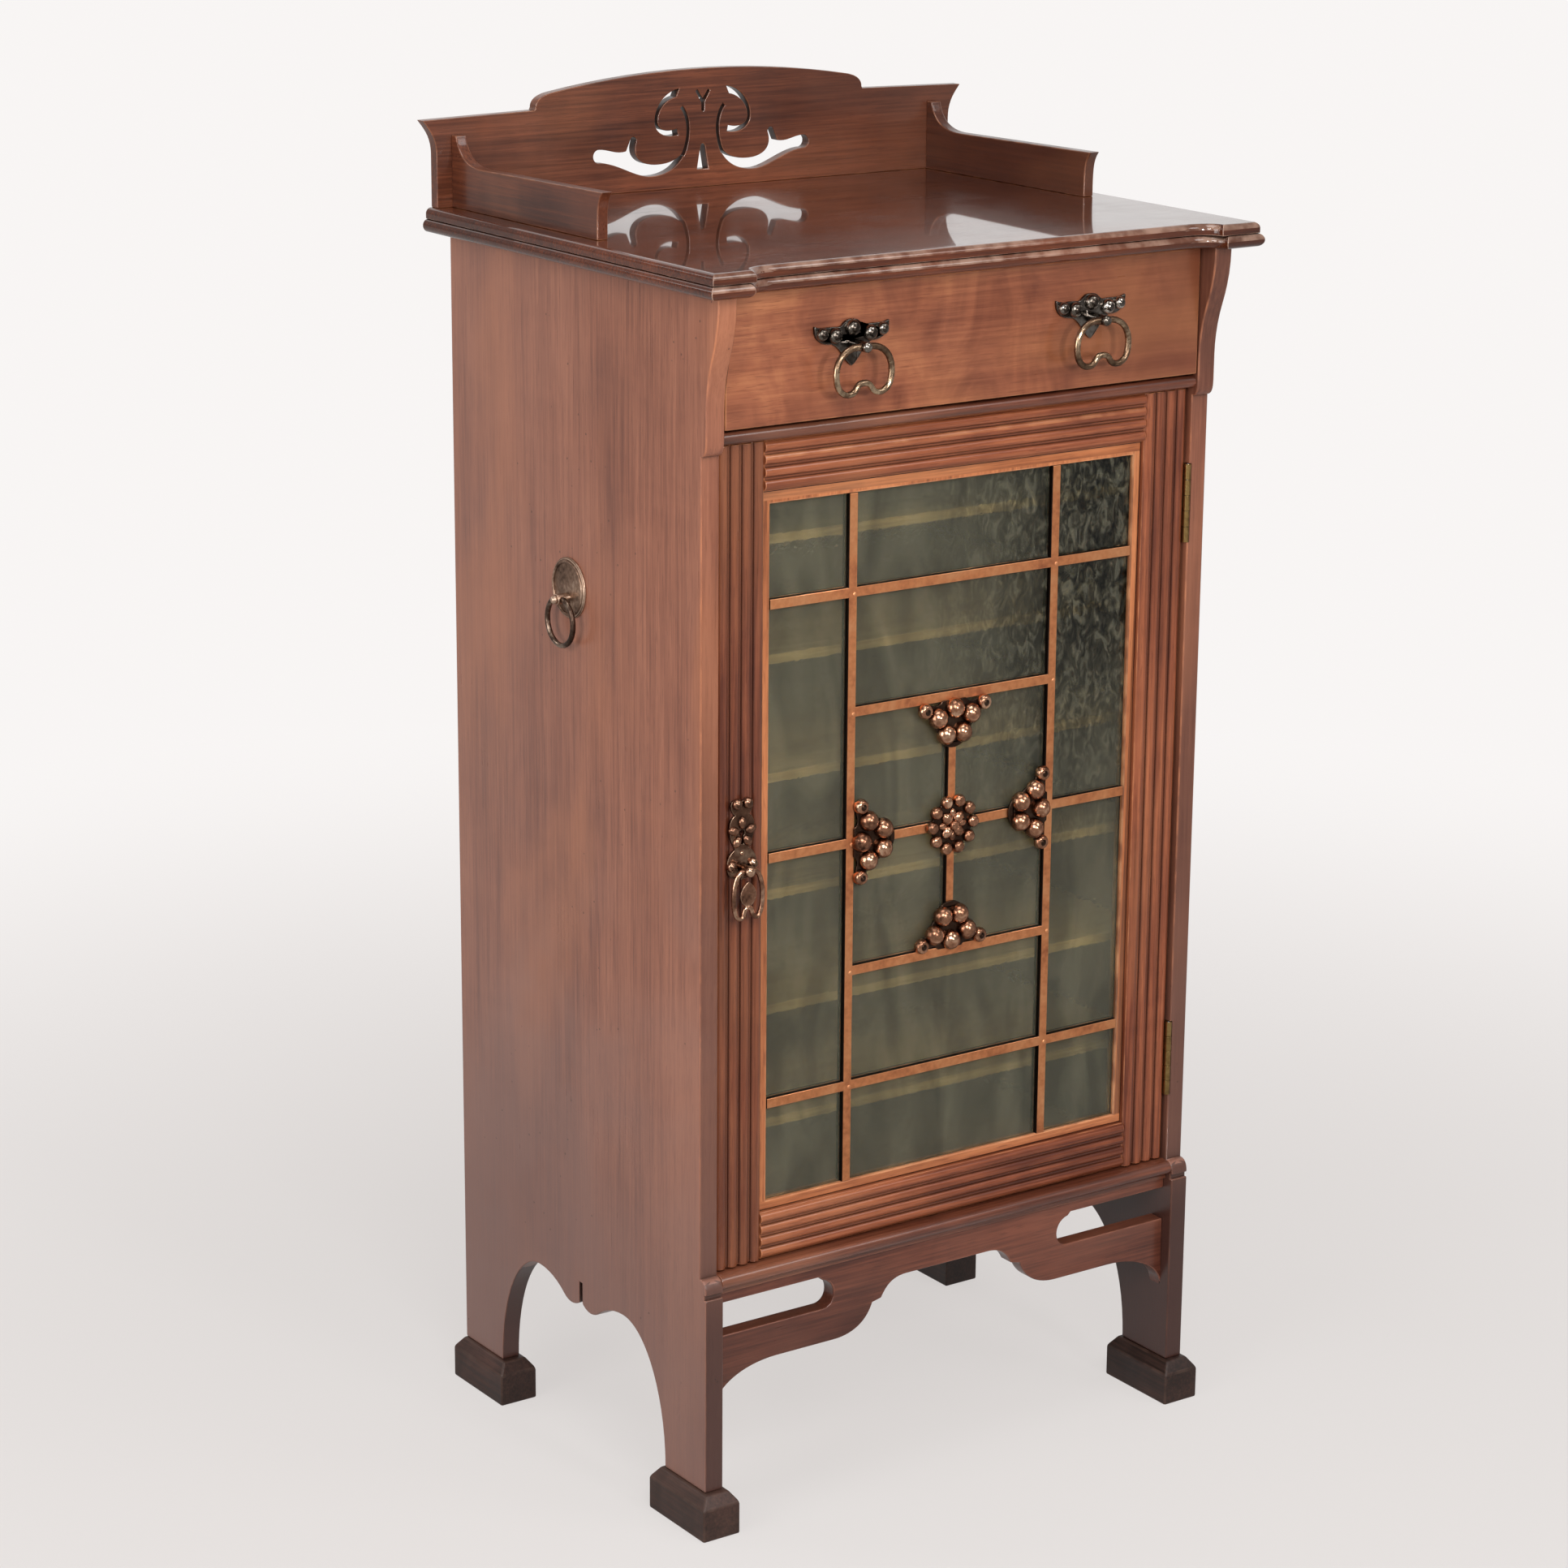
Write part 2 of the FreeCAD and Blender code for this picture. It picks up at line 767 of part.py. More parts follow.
def drawer_parts():
    """Drawer box by node name."""
    joint = drawer_depth - drawer_front_thickness
    side_in = drawer_half - drawer_board
    floor_top = drawer_bottom_height + drawer_bottom_thickness
    bottom = box(-side_in - drawer_groove, side_in + drawer_groove, drawer_rear,
                 joint + drawer_groove, drawer_bottom_height, floor_top)
    front = box(-drawer_half, drawer_half, joint, drawer_depth, drawer_low, drawer_high).cut(bottom)
    left = box(-drawer_half, -side_in, drawer_rear, joint, dust_top + running_gap, drawer_side_high)
    left = left.cut(bottom)
    back = box(-side_in, side_in, drawer_rear, drawer_rear + drawer_board, floor_top, drawer_back_high)
    return {"drawer_front": front, "drawer_left_side": left, "drawer_right_side": mirror_x(left),
            "drawer_back": back, "drawer_bottom": bottom}


def reeds(width, start):
    """Steps across a reeded face, as (offset, depth) pairs."""
    pitch = width / reed_count
    floor = door_depth - reed_height
    steps = []
    for i in range(reed_count):
        a = start + i * pitch + reed_quirk / 2
        b = start + (i + 1) * pitch - reed_quirk / 2
        steps += [(a, floor), ("arc", ((a + b) / 2, door_depth), (b, floor))]
    steps.append((start + width, floor))
    return steps


def door_stile():
    """Left stile with upright reeds."""
    floor = door_depth - reed_height
    steps = [(-door_half, floor)] + reeds(stile_width, -door_half) + [(-stile_inner, door_back)]
    return upward(wire((-door_half, door_back), steps, plan_view(door_low)), door_high - door_low)


def door_rail(low):
    """Rail with level reeds, from its lower edge up."""
    floor = door_depth - reed_height
    steps = [(low, floor)] + reeds(rail_width, low) + [(low + rail_width, door_back)]
    outline = wire((low, door_back), steps, lambda z, depth: at(-stile_inner, depth, z))
    return sideways(outline, 2 * stile_inner)


def came_bars():
    """Centre lines of the lattice as (x0, x1, z0, z1, face width)."""
    outer = (came_z - came_outer_rise, came_z + came_outer_rise)
    middle = (came_z - came_inner_rise, came_z + came_inner_rise)
    bars = [(x, x, sight_low, sight_high, came_width) for x in (-came_x, came_x)]
    bars += [(-sight_half, sight_half, z, z, came_width) for z in outer]
    bars += [(-came_x, came_x, z, z, came_width) for z in middle]
    bars += [(a, b, came_z, came_z, came_width) for a, b in ((-sight_half, -came_x), (came_x, sight_half))]
    bars.append((0.0, 0.0, *middle, cross_width))
    bars.append((-came_x, came_x, came_z, came_z, cross_width))
    return bars


def came_layer(width_of, depth0, depth1):
    """All the bars of one layer of the came section."""
    strips = []
    for x0, x1, z0, z1, face in came_bars():
        w = width_of(face) / 2
        dx, dz = (w, 0.0) if x0 == x1 else (0.0, w)
        strips.append(box(x0 - dx, x1 + dx, depth0, depth1, z0 - dz, z1 + dz))
    return strips


def came_lattice():
    """Lattice of H-section cames."""
    layers = came_layer(lambda face: face, glass_depth, frame_depth)
    layers += came_layer(lambda face: came_heart, glass_back, glass_depth)
    layers += came_layer(lambda face: face, glass_back - came_back, glass_back)
    return joined(layers)


def glass_panes():
    """One pane for each opening of the lattice."""
    edge = sight_half + glass_bite
    low = sight_low - glass_bite
    high = sight_high + glass_bite
    outer0, outer1 = came_z - came_outer_rise, came_z + came_outer_rise
    inner0, inner1 = came_z - came_inner_rise, came_z + came_inner_rise
    cells = []
    for x0, x1 in ((-edge, -came_x), (came_x, edge)):
        for z0, z1 in ((low, outer0), (outer0, came_z), (came_z, outer1), (outer1, high)):
            cells.append((x0, x1, z0, z1))
    for z0, z1 in ((low, outer0), (outer0, inner0), (inner1, outer1), (outer1, high)):
        cells.append((-came_x, came_x, z0, z1))
    for x0, x1 in ((-came_x, 0.0), (0.0, came_x)):
        for z0, z1 in ((inner0, came_z), (came_z, inner1)):
            cells.append((x0, x1, z0, z1))
    web = came_heart / 2
    panes = []
    for x0, x1, z0, z1 in cells:
        a = x0 if x0 == -edge else x0 + web
        b = x1 if x1 == edge else x1 - web
        c = z0 if z0 == low else z0 + web
        d = z1 if z1 == high else z1 - web
        panes.append(box(a, b, glass_back, glass_depth, c, d))
    return Part.makeCompound(panes)


def glazing_frame():
    """Frame strips round the glass, grooved for its edges."""
    frame = box(-stile_inner, stile_inner, frame_back_depth, frame_depth, rail_low, rail_high)
    hole = box(-sight_half, sight_half, frame_back_depth, frame_depth, sight_low, sight_high)
    groove = box(-sight_half - glass_bite, sight_half + glass_bite, glass_back, glass_depth,
                 sight_low - glass_bite, sight_high + glass_bite)
    return frame.cut([hole, groove])


def berry_cluster():
    """Triangular cluster under the upper middle came: berries and end curls on a leaf."""
    z = came_z + came_inner_rise
    unit = cluster_size / 100
    front = frame_depth + ornament_thickness
    leaf = grid([
        (0.0, -3.0),
        (12.0, -3.0),
        ("bezier", (16.0, -10.0), (24.0, -3.0), (33.0, -4.0)),
        ("bezier", (36.0, -12.0), (28.0, -15.0), (22.0, -17.0)),
        ("bezier", (20.0, -26.0), (14.0, -30.0), (12.0, -38.0)),
        ("bezier", (6.0, -43.0), (2.0, -43.0), (0.0, -43.0)),
    ], cluster_size)
    outline = wire(leaf[0], leaf[1:] + walked_back(leaf[0], leaf[1:]),
                   lambda x, rise: at(x, frame_depth, z + rise))
    pieces = [forward(outline, ornament_thickness)]
    for x, drop in ((0.0, 10.0), (16.5, 16.5), (8.3, 31.0), (-16.5, 16.5), (-8.3, 31.0)):
        pieces.append(berry(x * unit, front, z - drop * unit, berry_radius))
    for x in (-29.5, 29.5):
        pieces.append(berry(x * unit, front, z - 9.0 * unit, curl_radius))
    return joined(pieces)


def came_clusters():
    """The four clusters round the middle of the lattice."""
    top = berry_cluster()
    middle = at(0.0, frame_depth, came_z)
    turned = [top]
    for angle in (90, 180, 270):
        turned.append(top.rotated(middle, Vector(0, 1, 0), angle))
    shift = came_x - came_inner_rise
    turned[1].translate(Vector(shift, 0, 0))
    turned[3].translate(Vector(-shift, 0, 0))
    return Part.makeCompound(turned)


def centre_rosette():
    """Ring of berries round a boss where the thin cames cross."""
    front = frame_depth + ornament_thickness
    plate = stud(0.0, frame_depth, came_z, rosette_radius + rosette_rim, ornament_thickness)
    pieces = [plate, berry(0.0, front, came_z, rosette_boss_radius)]
    ball = berry(0.0, front, came_z + rosette_radius, rosette_berry_radius)
    for i in range(rosette_count):
        angle = 360.0 * (i + 0.5) / rosette_count
        pieces.append(ball.rotated(at(0.0, front, came_z), Vector(0, 1, 0), angle))
    return joined(pieces)


def hinge_barrel(low, radius, picks):
    """Knuckles of one hinge that belong to one leaf."""
    step = hinge_length / knuckle_count
    trim = knuckle_gap / 2
    knuckles = []
    for i in picks:
        z = low + i * step + trim
        knuckles.append(Part.makeCylinder(radius, step - 2 * trim, at(hinge_x, barrel_depth, z)))
    return knuckles


def hinge_screws(low, face, into):
    """Countersunk screws of one leaf, driven along X."""
    screws = []
    for i in range(screw_count):
        z = low + hinge_length * (i + 0.5) / screw_count
        head = at(face, screw_depth, z)
        cone = Part.makeCone(screw_head_radius, screw_shank_radius, leaf_thickness, head, Vector(into, 0, 0))
        shank = Part.makeCylinder(screw_shank_radius, screw_length, head, Vector(into, 0, 0))
        screws.append(joined([cone, shank]))
    return screws


def hinge_leaf(low, on_door):
    """One leaf with its knuckles, bored for the pin."""
    face = door_half if on_door else inner
    into = -1 if on_door else 1
    own = range(1, knuckle_count, 2) if on_door else range(0, knuckle_count, 2)
    other = range(0, knuckle_count, 2) if on_door else range(1, knuckle_count, 2)
    plate = box(face, face + into * leaf_thickness, leaf_back_depth, barrel_depth, low, low + hinge_length)
    room = hinge_barrel(low, barrel_radius + barrel_clear, other)
    gaps = [c.copy() for c in room]
    for gap in gaps:
        gap.translate(Vector(0, 0, -knuckle_gap))
    for gap in room:
        gap.translate(Vector(0, 0, knuckle_gap))
    leaf = joined([plate.cut(room + gaps)] + hinge_barrel(low, barrel_radius, own))
    bore = pin_radius + (pin_clear if on_door else 0.0)
    pin = Part.makeCylinder(bore, hinge_length + 2, at(hinge_x, barrel_depth, low - 1))
    return leaf.cut([pin] + hinge_screws(low, face, into))


def hinge_seat(low, on_door):
    """Wood cut away for one leaf, its screws and the barrel."""
    face = door_half if on_door else inner
    into = -1 if on_door else 1
    front = max(panel_depth, door_depth) + 1
    leaf = box(face, face + into * leaf_thickness, leaf_back_depth, front, low, low + hinge_length)
    room = Part.makeCylinder(barrel_radius + barrel_clear, hinge_length + 2 * knuckle_gap,
                             at(hinge_x, barrel_depth, low - knuckle_gap))
    return [leaf, room] + hinge_screws(low, face, into)


def hinge_pin(low):
    """Loose pin through all the knuckles."""
    return Part.makeCylinder(pin_radius, hinge_length, at(hinge_x, barrel_depth, low))


def bolt_slot():
    """Depth band of the lock bolt with its clearance."""
    centre = door_back + lock_case_depth / 2
    half_width = lock_case_depth / 2 - lock_wall
    return centre - half_width, centre + half_width


def bolt_band():
    """Height band of the lock bolt with its clearance."""
    return lock_height - bolt_height / 2 - bolt_clear, lock_height + bolt_height / 2 + bolt_clear


def lock_block():
    """Outside of the lock case, let into the stile's back."""
    low = lock_height - lock_case_height / 2
    return box(-door_half, -door_half + lock_case_length, door_back, door_back + lock_case_depth,
               low, low + lock_case_height)


def lock_case():
    """Lock case with a channel for the bolt."""
    channel = box(-door_half - 1, -door_half + lock_case_length - lock_wall, *bolt_slot(), *bolt_band())
    return lock_block().cut(channel)


def lock_bolt():
    """Sliding bolt, drawn back inside the case."""
    depth0, depth1 = bolt_slot()
    return box(-bolt_rest, -bolt_rest + bolt_length, depth0 + bolt_clear, depth1 - bolt_clear,
               lock_height - bolt_height / 2, lock_height + bolt_height / 2)


def keyhole(depth, length):
    """Tool for a keyhole: a round with a slot below it."""
    x = -stile_centre
    slot = box(x - keyhole_slot / 2, x + keyhole_slot / 2, depth, depth + length,
               lock_height - keyhole_drop, lock_height)
    return stud(x, depth, lock_height, keyhole_radius, length).fuse(slot)


def escutcheon_outline(depth):
    """Plant-shaped lock plate outline."""
    drawn = grid([
        (0.0, 26.0),
        ("bezier", (12.0, 32.0), (13.0, 20.0), (6.5, 15.0)),
        ("bezier", (14.0, 11.0), (13.0, -2.0), (6.5, -13.0)),
        ("bezier", (12.0, -15.0), (16.0, -24.0), (13.0, -31.0)),
        ("bezier", (10.0, -37.0), (4.0, -38.0), (0.0, -38.0)),
    ], escutcheon_size)
    return wire(drawn[0], drawn[1:] + walked_back(drawn[0], drawn[1:]),
                lambda x, rise: at(x - stile_centre, depth, lock_height + rise))


def lock_escutcheon():
    """Lock plate with berries, keyhole and the eye for the pull."""
    front = plate_depth + plate_thickness
    unit = escutcheon_size / 100
    pieces = [forward(escutcheon_outline(plate_depth), plate_thickness)]
    for x, rise, radius in escutcheon_berries:
        for side in (-1, 1):
            place = (side * x * unit - stile_centre, front, lock_height + rise * unit)
            pieces.append(berry(*place, radius * unit))
    eye_end = pull_axis_depth + pull_wire + eye_wall
    pieces.append(stud(-stile_centre, plate_depth, pull_axis_height, post_radius, eye_end - plate_depth))
    plate = joined(pieces)
    pin = bar_x(-stile_centre - stile_width, -stile_centre + stile_width, pull_axis_depth,
                pull_axis_height, pull_wire + pin_clear)
    return plate.cut([pin, keyhole(door_back, door_thickness + plate_thickness)])


def heart_loop(width, height, radius, place):
    """Wire loop in an upturned heart, hung from a straight pin at its top."""
    start = (0.0, 0.0)
    steps = [
        (post_radius + pin_margin, 0.0),
        ("bezier", (width * 0.36, 0.0), (width / 2, -height * 0.24), (width / 2, -height * 0.56)),
        ("bezier", (width / 2, -height * 0.86), (width * 0.40, -height), (width * 0.28, -height)),
        ("bezier", (width * 0.10, -height), (width * 0.18, -height * notch), (0.0, -height * notch)),
    ]
    path = wire(start, steps + walked_back(start, steps), place)
    section = Part.Wire(Part.makeCircle(radius, place(*start), Vector(1, 0, 0)))
    return path.makePipeShell([section], True, False)


def drawer_bail():
    """Heart bail hung in front of the middle plane."""
    return heart_loop(bail_width, bail_height, bail_wire,
                      lambda x, z: at(x, handle_axis_depth, z + handle_height))


def door_pull():
    """Narrow heart pull with a leaf inside it, hung in front of the middle plane."""
    loop = heart_loop(pull_width, pull_height, pull_wire,
                      lambda x, z: at(x, pull_axis_depth, z + pull_axis_height))
    start = (0.0, -pull_height * notch)
    steps = [
        ("bezier", (pull_leaf_swell, -pull_height * 0.66), (pull_leaf_swell, -pull_height * 0.40),
         (0.0, -pull_height * 0.22)),
    ]
    place = front_view(pull_axis_depth - pull_wire / 2)
    leaf = forward(wire(start, steps + walked_back(start, steps),
                        lambda x, z: place(x, z + pull_axis_height)), pull_wire)
    return joined([loop, leaf])


def handle_backplate():
    """Spreading drawer plate with berries and an eye, on the middle plane."""
    front = drawer_depth + handle_plate
    unit = handle_size / 100
    drawn = grid([
        (0.0, 19.0),
        ("bezier", (8.0, 20.0), (8.0, 13.0), (14.0, 14.0)),
        ("bezier", (22.0, 15.0), (29.0, 13.0), (35.0, 16.0)),
        ("bezier", (36.0, 4.0), (27.0, 1.0), (19.0, 1.0)),
        ("bezier", (10.0, -2.0), (8.0, -12.0), (0.0, -17.0)),
    ], handle_size)
    outline = wire(drawn[0], drawn[1:] + walked_back(drawn[0], drawn[1:]),
                   lambda x, rise: at(x, drawer_depth, handle_height + rise))
    pieces = [forward(outline, handle_plate)]
    for x, rise, radius in handle_berries:
        for side in ((1,) if x == 0.0 else (1, -1)):
            pieces.append(berry(side * x * unit, front, handle_height + rise * unit, radius * unit))
    pieces.append(stud(0.0, drawer_depth, handle_height, post_radius, handle_reach + bail_wire + eye_wall))
    pin = bar_x(-bail_width, bail_width, handle_axis_depth, handle_height, bail_wire + pin_clear)
    return joined(pieces).cut(pin)


def ring_plate():
    """Round side plate with an eye, on the left side."""
    face = at(-half, ring_depth, ring_plate_height)
    plate = Part.makeCylinder(ring_plate_radius, ring_plate_thickness, face, Vector(-1, 0, 0))
    rim = [e for e in plate.Edges if abs(e.BoundBox.XMax + half + ring_plate_thickness) < 1e-6]
    plate = plate.makeChamfer(ring_plate_thickness / 2, rim)
    boss = Part.makeCylinder(ring_boss_radius, ring_reach + ring_wire + eye_wall,
                             at(-half, ring_depth, ring_axis_height), Vector(-1, 0, 0))
    pin = Part.makeCylinder(ring_wire + pin_clear, 4 * ring_radius,
                            at(-half - ring_reach, ring_depth + 2 * ring_radius, ring_axis_height),
                            Vector(0, 1, 0))
    return joined([plate, boss]).cut(pin)


def side_ring():
    """Ring hung from a straight pin, on the left side."""
    pin_half = ring_boss_radius + pin_margin
    x = -half - ring_reach
    drop = (ring_radius ** 2 - pin_half ** 2) ** 0.5
    centre_z = ring_axis_height - drop
    place = side_view(x)
    ends = [(ring_depth + s * pin_half, ring_axis_height) for s in (-1, 1)]
    low = place(ring_depth, centre_z - ring_radius)
    arc = Part.Arc(place(*ends[0]), low, place(*ends[1])).toShape()
    tangent = arc.tangentAt(arc.FirstParameter)
    section = Part.Wire(Part.makeCircle(ring_wire, place(*ends[0]), tangent))
    loop = Part.Wire([arc]).makePipeShell([section], True, False)
    pin = Part.makeCylinder(ring_wire, 2 * pin_half, place(*ends[1]), Vector(0, 1, 0))
    knots = [Part.makeSphere(ring_wire, place(*end)) for end in ends]
    return joined([loop, pin] + knots)


def shifted(shape, x):
    """Copy moved along X."""
    copy = shape.copy()
    copy.translate(Vector(x, 0, 0))
    return copy


def case_nodes():
    """Everything that stands still."""
    boards = housed_boards()
    seats = [tool for low in hinge_heights for tool in hinge_seat(low, False)]
    left, right = side_panels(boards, seats)
    nodes = {"left_side_panel": left, "right_side_panel": right, "top_board": top_board()}
    nodes.update(boards)
    nodes["back_panel"] = box(-inner, inner, back_inset, back_front, board_low, top_underside)
    nodes["bead_rail"] = bead_rail()
    nodes["front_apron"] = front_apron()
    nodes["drawer_rail"] = drawer_rail()
    nodes["drawer_stops"] = drawer_stops()
    stop_front = door_back - stop_gap
    nodes["door_stop"] = box(-inner, -inner + stop_size, stop_front - stop_size, stop_front,
                             board_top, dust_board_height)
    nodes["gallery_back"] = gallery_back()
    nodes["gallery_left"] = gallery_side()
    nodes["gallery_right"] = mirror_x(nodes["gallery_left"])
    for name, front in (("front", True), ("rear", False)):
        nodes[f"foot_{name}_left"] = foot(front)
        nodes[f"foot_{name}_right"] = mirror_x(nodes[f"foot_{name}_left"])
    nodes["left_ring_plate"] = ring_plate()
    nodes["right_ring_plate"] = mirror_x(nodes["left_ring_plate"])
    for name, low in zip(("upper", "lower"), hinge_heights):
        nodes[f"{name}_hinge_case_leaf"] = hinge_leaf(low, False)
    nodes["hinge_pins"] = Part.makeCompound([hinge_pin(low) for low in hinge_heights])
    nodes["hinge_case_screws"] = Part.makeCompound(
        [s for low in hinge_heights for s in hinge_screws(low, inner, 1)])
    return nodes


def door_nodes():
    """The door, its glazing, lock and fittings."""
    stile = door_stile()
    bed = forward(escutcheon_outline(plate_depth), plate_thickness)
    left = stile.cut([bed, lock_block(), keyhole(door_back, door_thickness)])
    seats = [tool for low in hinge_heights for tool in hinge_seat(low, True)]
    nodes = {
        "door_left_stile": left,
        "door_right_stile": mirror_x(stile).cut(seats),
        "door_top_rail": door_rail(rail_high),
        "door_bottom_rail": door_rail(door_low),
        "glazing_frame": glazing_frame(),
        "came_lattice": came_lattice(),
        "glass_panes": glass_panes(),
        "came_clusters": came_clusters(),
        "centre_rosette": centre_rosette(),
        "lock_escutcheon": lock_escutcheon(),
        "lock_case": lock_case(),
        "lock_bolt": lock_bolt(),
        "door_pull": shifted(door_pull(), -stile_centre),
    }
    for name, low in zip(("upper", "lower"), hinge_heights):
        nodes[f"{name}_hinge_door_leaf"] = hinge_leaf(low, True)
    nodes["hinge_door_screws"] = Part.makeCompound(
        [s for low in hinge_heights for s in hinge_screws(low, door_half, -1)])
    return nodes


def drawer_nodes():
    """The drawer and its handles."""
    nodes = drawer_parts()
    for name, x in (("left", -handle_x), ("right", handle_x)):
        nodes[f"{name}_drawer_plate"] = shifted(handle_backplate(), x)
        nodes[f"{name}_drawer_bail"] = shifted(drawer_bail(), x)
    return nodes


nodes = {}
nodes.update(case_nodes())
nodes.update(door_nodes())
nodes.update(drawer_nodes())
nodes["left_side_ring"] = side_ring()
nodes["right_side_ring"] = mirror_x(nodes["left_side_ring"])

os.makedirs("parts", exist_ok=True)
for name, shape in nodes.items():
    shape.exportStep(f"parts/{name}.step")
    print(name, len(shape.Solids), round(shape.Volume / 1000, 2), shape.isValid())
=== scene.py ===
"""Music cabinet in polished mahogany: its finishes, fittings, floor, light and camera."""

import json
import logging
import math
from dataclasses import dataclass, replace
from enum import Enum
from functools import cache
from typing import Iterable, Sequence

import bmesh
import bpy
from mathutils import Matrix, Vector


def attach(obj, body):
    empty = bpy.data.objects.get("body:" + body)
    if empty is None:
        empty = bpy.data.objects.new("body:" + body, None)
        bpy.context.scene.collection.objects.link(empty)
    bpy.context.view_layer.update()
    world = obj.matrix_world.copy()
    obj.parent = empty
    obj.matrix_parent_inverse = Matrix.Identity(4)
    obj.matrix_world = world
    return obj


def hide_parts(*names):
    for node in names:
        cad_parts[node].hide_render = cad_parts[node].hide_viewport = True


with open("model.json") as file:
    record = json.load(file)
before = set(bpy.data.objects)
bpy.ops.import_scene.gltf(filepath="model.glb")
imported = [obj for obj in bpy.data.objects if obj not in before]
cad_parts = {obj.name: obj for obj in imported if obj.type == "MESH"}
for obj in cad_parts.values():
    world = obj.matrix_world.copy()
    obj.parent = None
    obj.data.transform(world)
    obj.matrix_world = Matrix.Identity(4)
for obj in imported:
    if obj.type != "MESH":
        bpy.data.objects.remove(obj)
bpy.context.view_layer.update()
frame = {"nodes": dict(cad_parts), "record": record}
LOG = logging.getLogger("cabinet")

Colour = tuple[float, float, float]
Point = tuple[float, float, float]
Box = tuple[Point, Point]
Inputs = dict[str | int, object]
Draft = bmesh.types.BMesh
Face = bpy.types.MeshPolygon
Material = bpy.types.Material
Mesh = bpy.types.Mesh
Socket = bpy.types.NodeSocket

MM = 0.001
BACK_Y = 202.25
BOARD_NUMBER = 0.37
BOARD_SHIFT = (3.1, 1.7, 2.3)
MERGE_DISTANCE = 2e-5
FLAT_ANGLE = math.radians(0.5)
CORNER_ANGLE = math.radians(33)
SHADING_ANGLE = math.radians(38)
FACING = 0.7
# least forward and upward slopes of faces that take a painted highlight
HIGHLIGHT_FORWARD = 0.2
HIGHLIGHT_UP = 0.12
FORWARD: Point = (0.0, -1.0, 0.0)
LEFTWARD: Point = (-1.0, 0.0, 0.0)
LIT_SPOT = Vector((0.0, 0.0, 0.55))


def at(x: float, depth: float, z: float) -> Vector:
    """Point in metres from millimetres, its depth counted from the side panels' back edge."""
    return Vector((x * MM, (BACK_Y - depth) * MM, z * MM))


def linked(name: str, data: bpy.types.ID) -> bpy.types.Object:
    """Puts a new object into the scene.

    Args:
        name: Name of the object.
        data: Its mesh, lamp or camera.

    Returns:
        The object.
    """
    thing = bpy.data.objects.new(name, data)
    bpy.context.scene.collection.objects.link(thing)
    return thing


def solid(name: str, work: Draft) -> Mesh:
    """Turns a draft into a mesh and lets the draft go.

    Args:
        name: Name of the mesh.
        work: The draft.

    Returns:
        The mesh.
    """
    mesh = bpy.data.meshes.new(name)
    work.to_mesh(mesh)
    work.free()
    return mesh


def skinned(work: Draft, rows: Sequence[Sequence[bmesh.types.BMVert]]) -> None:
    """Spans faces between rows of points.

    Args:
        work: Draft that holds the points.
        rows: Rows with the same number of points; a ring ends with its first point.
    """
    for low, high in zip(rows, rows[1:]):
        for corners in zip(low, low[1:], high[1:], high):
            work.faces.new(corners)


def together(name: str, meshes: Iterable[Mesh]) -> Mesh:
    """Joins meshes that are in the part's frame.

    Args:
        name: Name of the result.
        meshes: What it is made of.

    Returns:
        The joined mesh.
    """
    work = bmesh.new()
    for mesh in meshes:
        work.from_mesh(mesh)
    return solid(name, work)


def marked(mesh: Mesh, name: str, values: Iterable[float]) -> Mesh:
    """Stores a number on every face of a mesh.

    Args:
        mesh: The mesh.
        name: Name of the number.
        values: One value for each face.

    Returns:
        The same mesh.
    """
    row = mesh.attributes.get(name) or mesh.attributes.new(name, "FLOAT", "FACE")
    row.data.foreach_set("value", list(values))
    return mesh


def all_over(mesh: Mesh, name: str, value: float) -> Mesh:
    """Stores one number on all faces of a mesh."""
    return marked(mesh, name, [value] * len(mesh.polygons))


class Grain(Enum):
    """Direction in which a board's grain runs."""

    ACROSS = 0
    DEEP = 1
    UP = 2

    def stretch(self, across: float, along: float) -> Point:
        """Pattern scale in cycles for each metre, across the fibres and along them."""
        return tuple(along if axis == self.value else across for axis in range(3))


class Wiring:
    """Lays nodes into one tree and joins them."""

    def __init__(self, tree: bpy.types.NodeTree) -> None:
        """Starts from an empty tree."""
        self.tree = tree
        tree.nodes.clear()

    def feed(self, socket: Socket, value: object) -> None:
        """Links an input, or sets its value.

        Args:
            socket: Input to fill.
            value: Another socket, or a plain value; a colour may come without its opacity.
        """
        if isinstance(value, Socket):
            self.tree.links.new(value, socket)
        elif socket.type == "RGBA" and len(value) == 3:
            socket.default_value = (*value, 1.0)
        else:
            socket.default_value = value

    def node(self, kind: str, inputs: Inputs | None = None, **settings: object) -> bpy.types.Node:
        """Adds a node.

        Args:
            kind: Node type.
            inputs: Values or sockets by input name or number.
            settings: Properties of the node.

        Returns:
            The node.
        """
        node = self.tree.nodes.new(kind)
        for key, value in settings.items():
            setattr(node, key, value)
        for key, value in (inputs or {}).items():
            self.feed(node.inputs[key], value)
        return node

    def out(self, kind: str, inputs: Inputs | None = None, **settings: object) -> Socket:
        """First output of a new node."""
        return self.node(kind, inputs, **settings).outputs[0]

    def math(self, operation: str, first: object, second: object = 0.0) -> Socket:
        """Plain sum on two numbers."""
        return self.out("ShaderNodeMath", {0: first, 1: second}, operation=operation)

    def times(self, first: object, second: object) -> Socket:
        """Product of two numbers."""
        return self.math("MULTIPLY", first, second)

    def split(self, place: Socket) -> Sequence[Socket]:
        """The three numbers of a place."""
        return self.node("ShaderNodeSeparateXYZ", {0: place}).outputs

    def layered(self, share: Socket, below: Socket, above: Socket) -> Socket:
        """One shader with a share of another over it."""
        return self.out("ShaderNodeMixShader", {0: share, 1: below, 2: above})


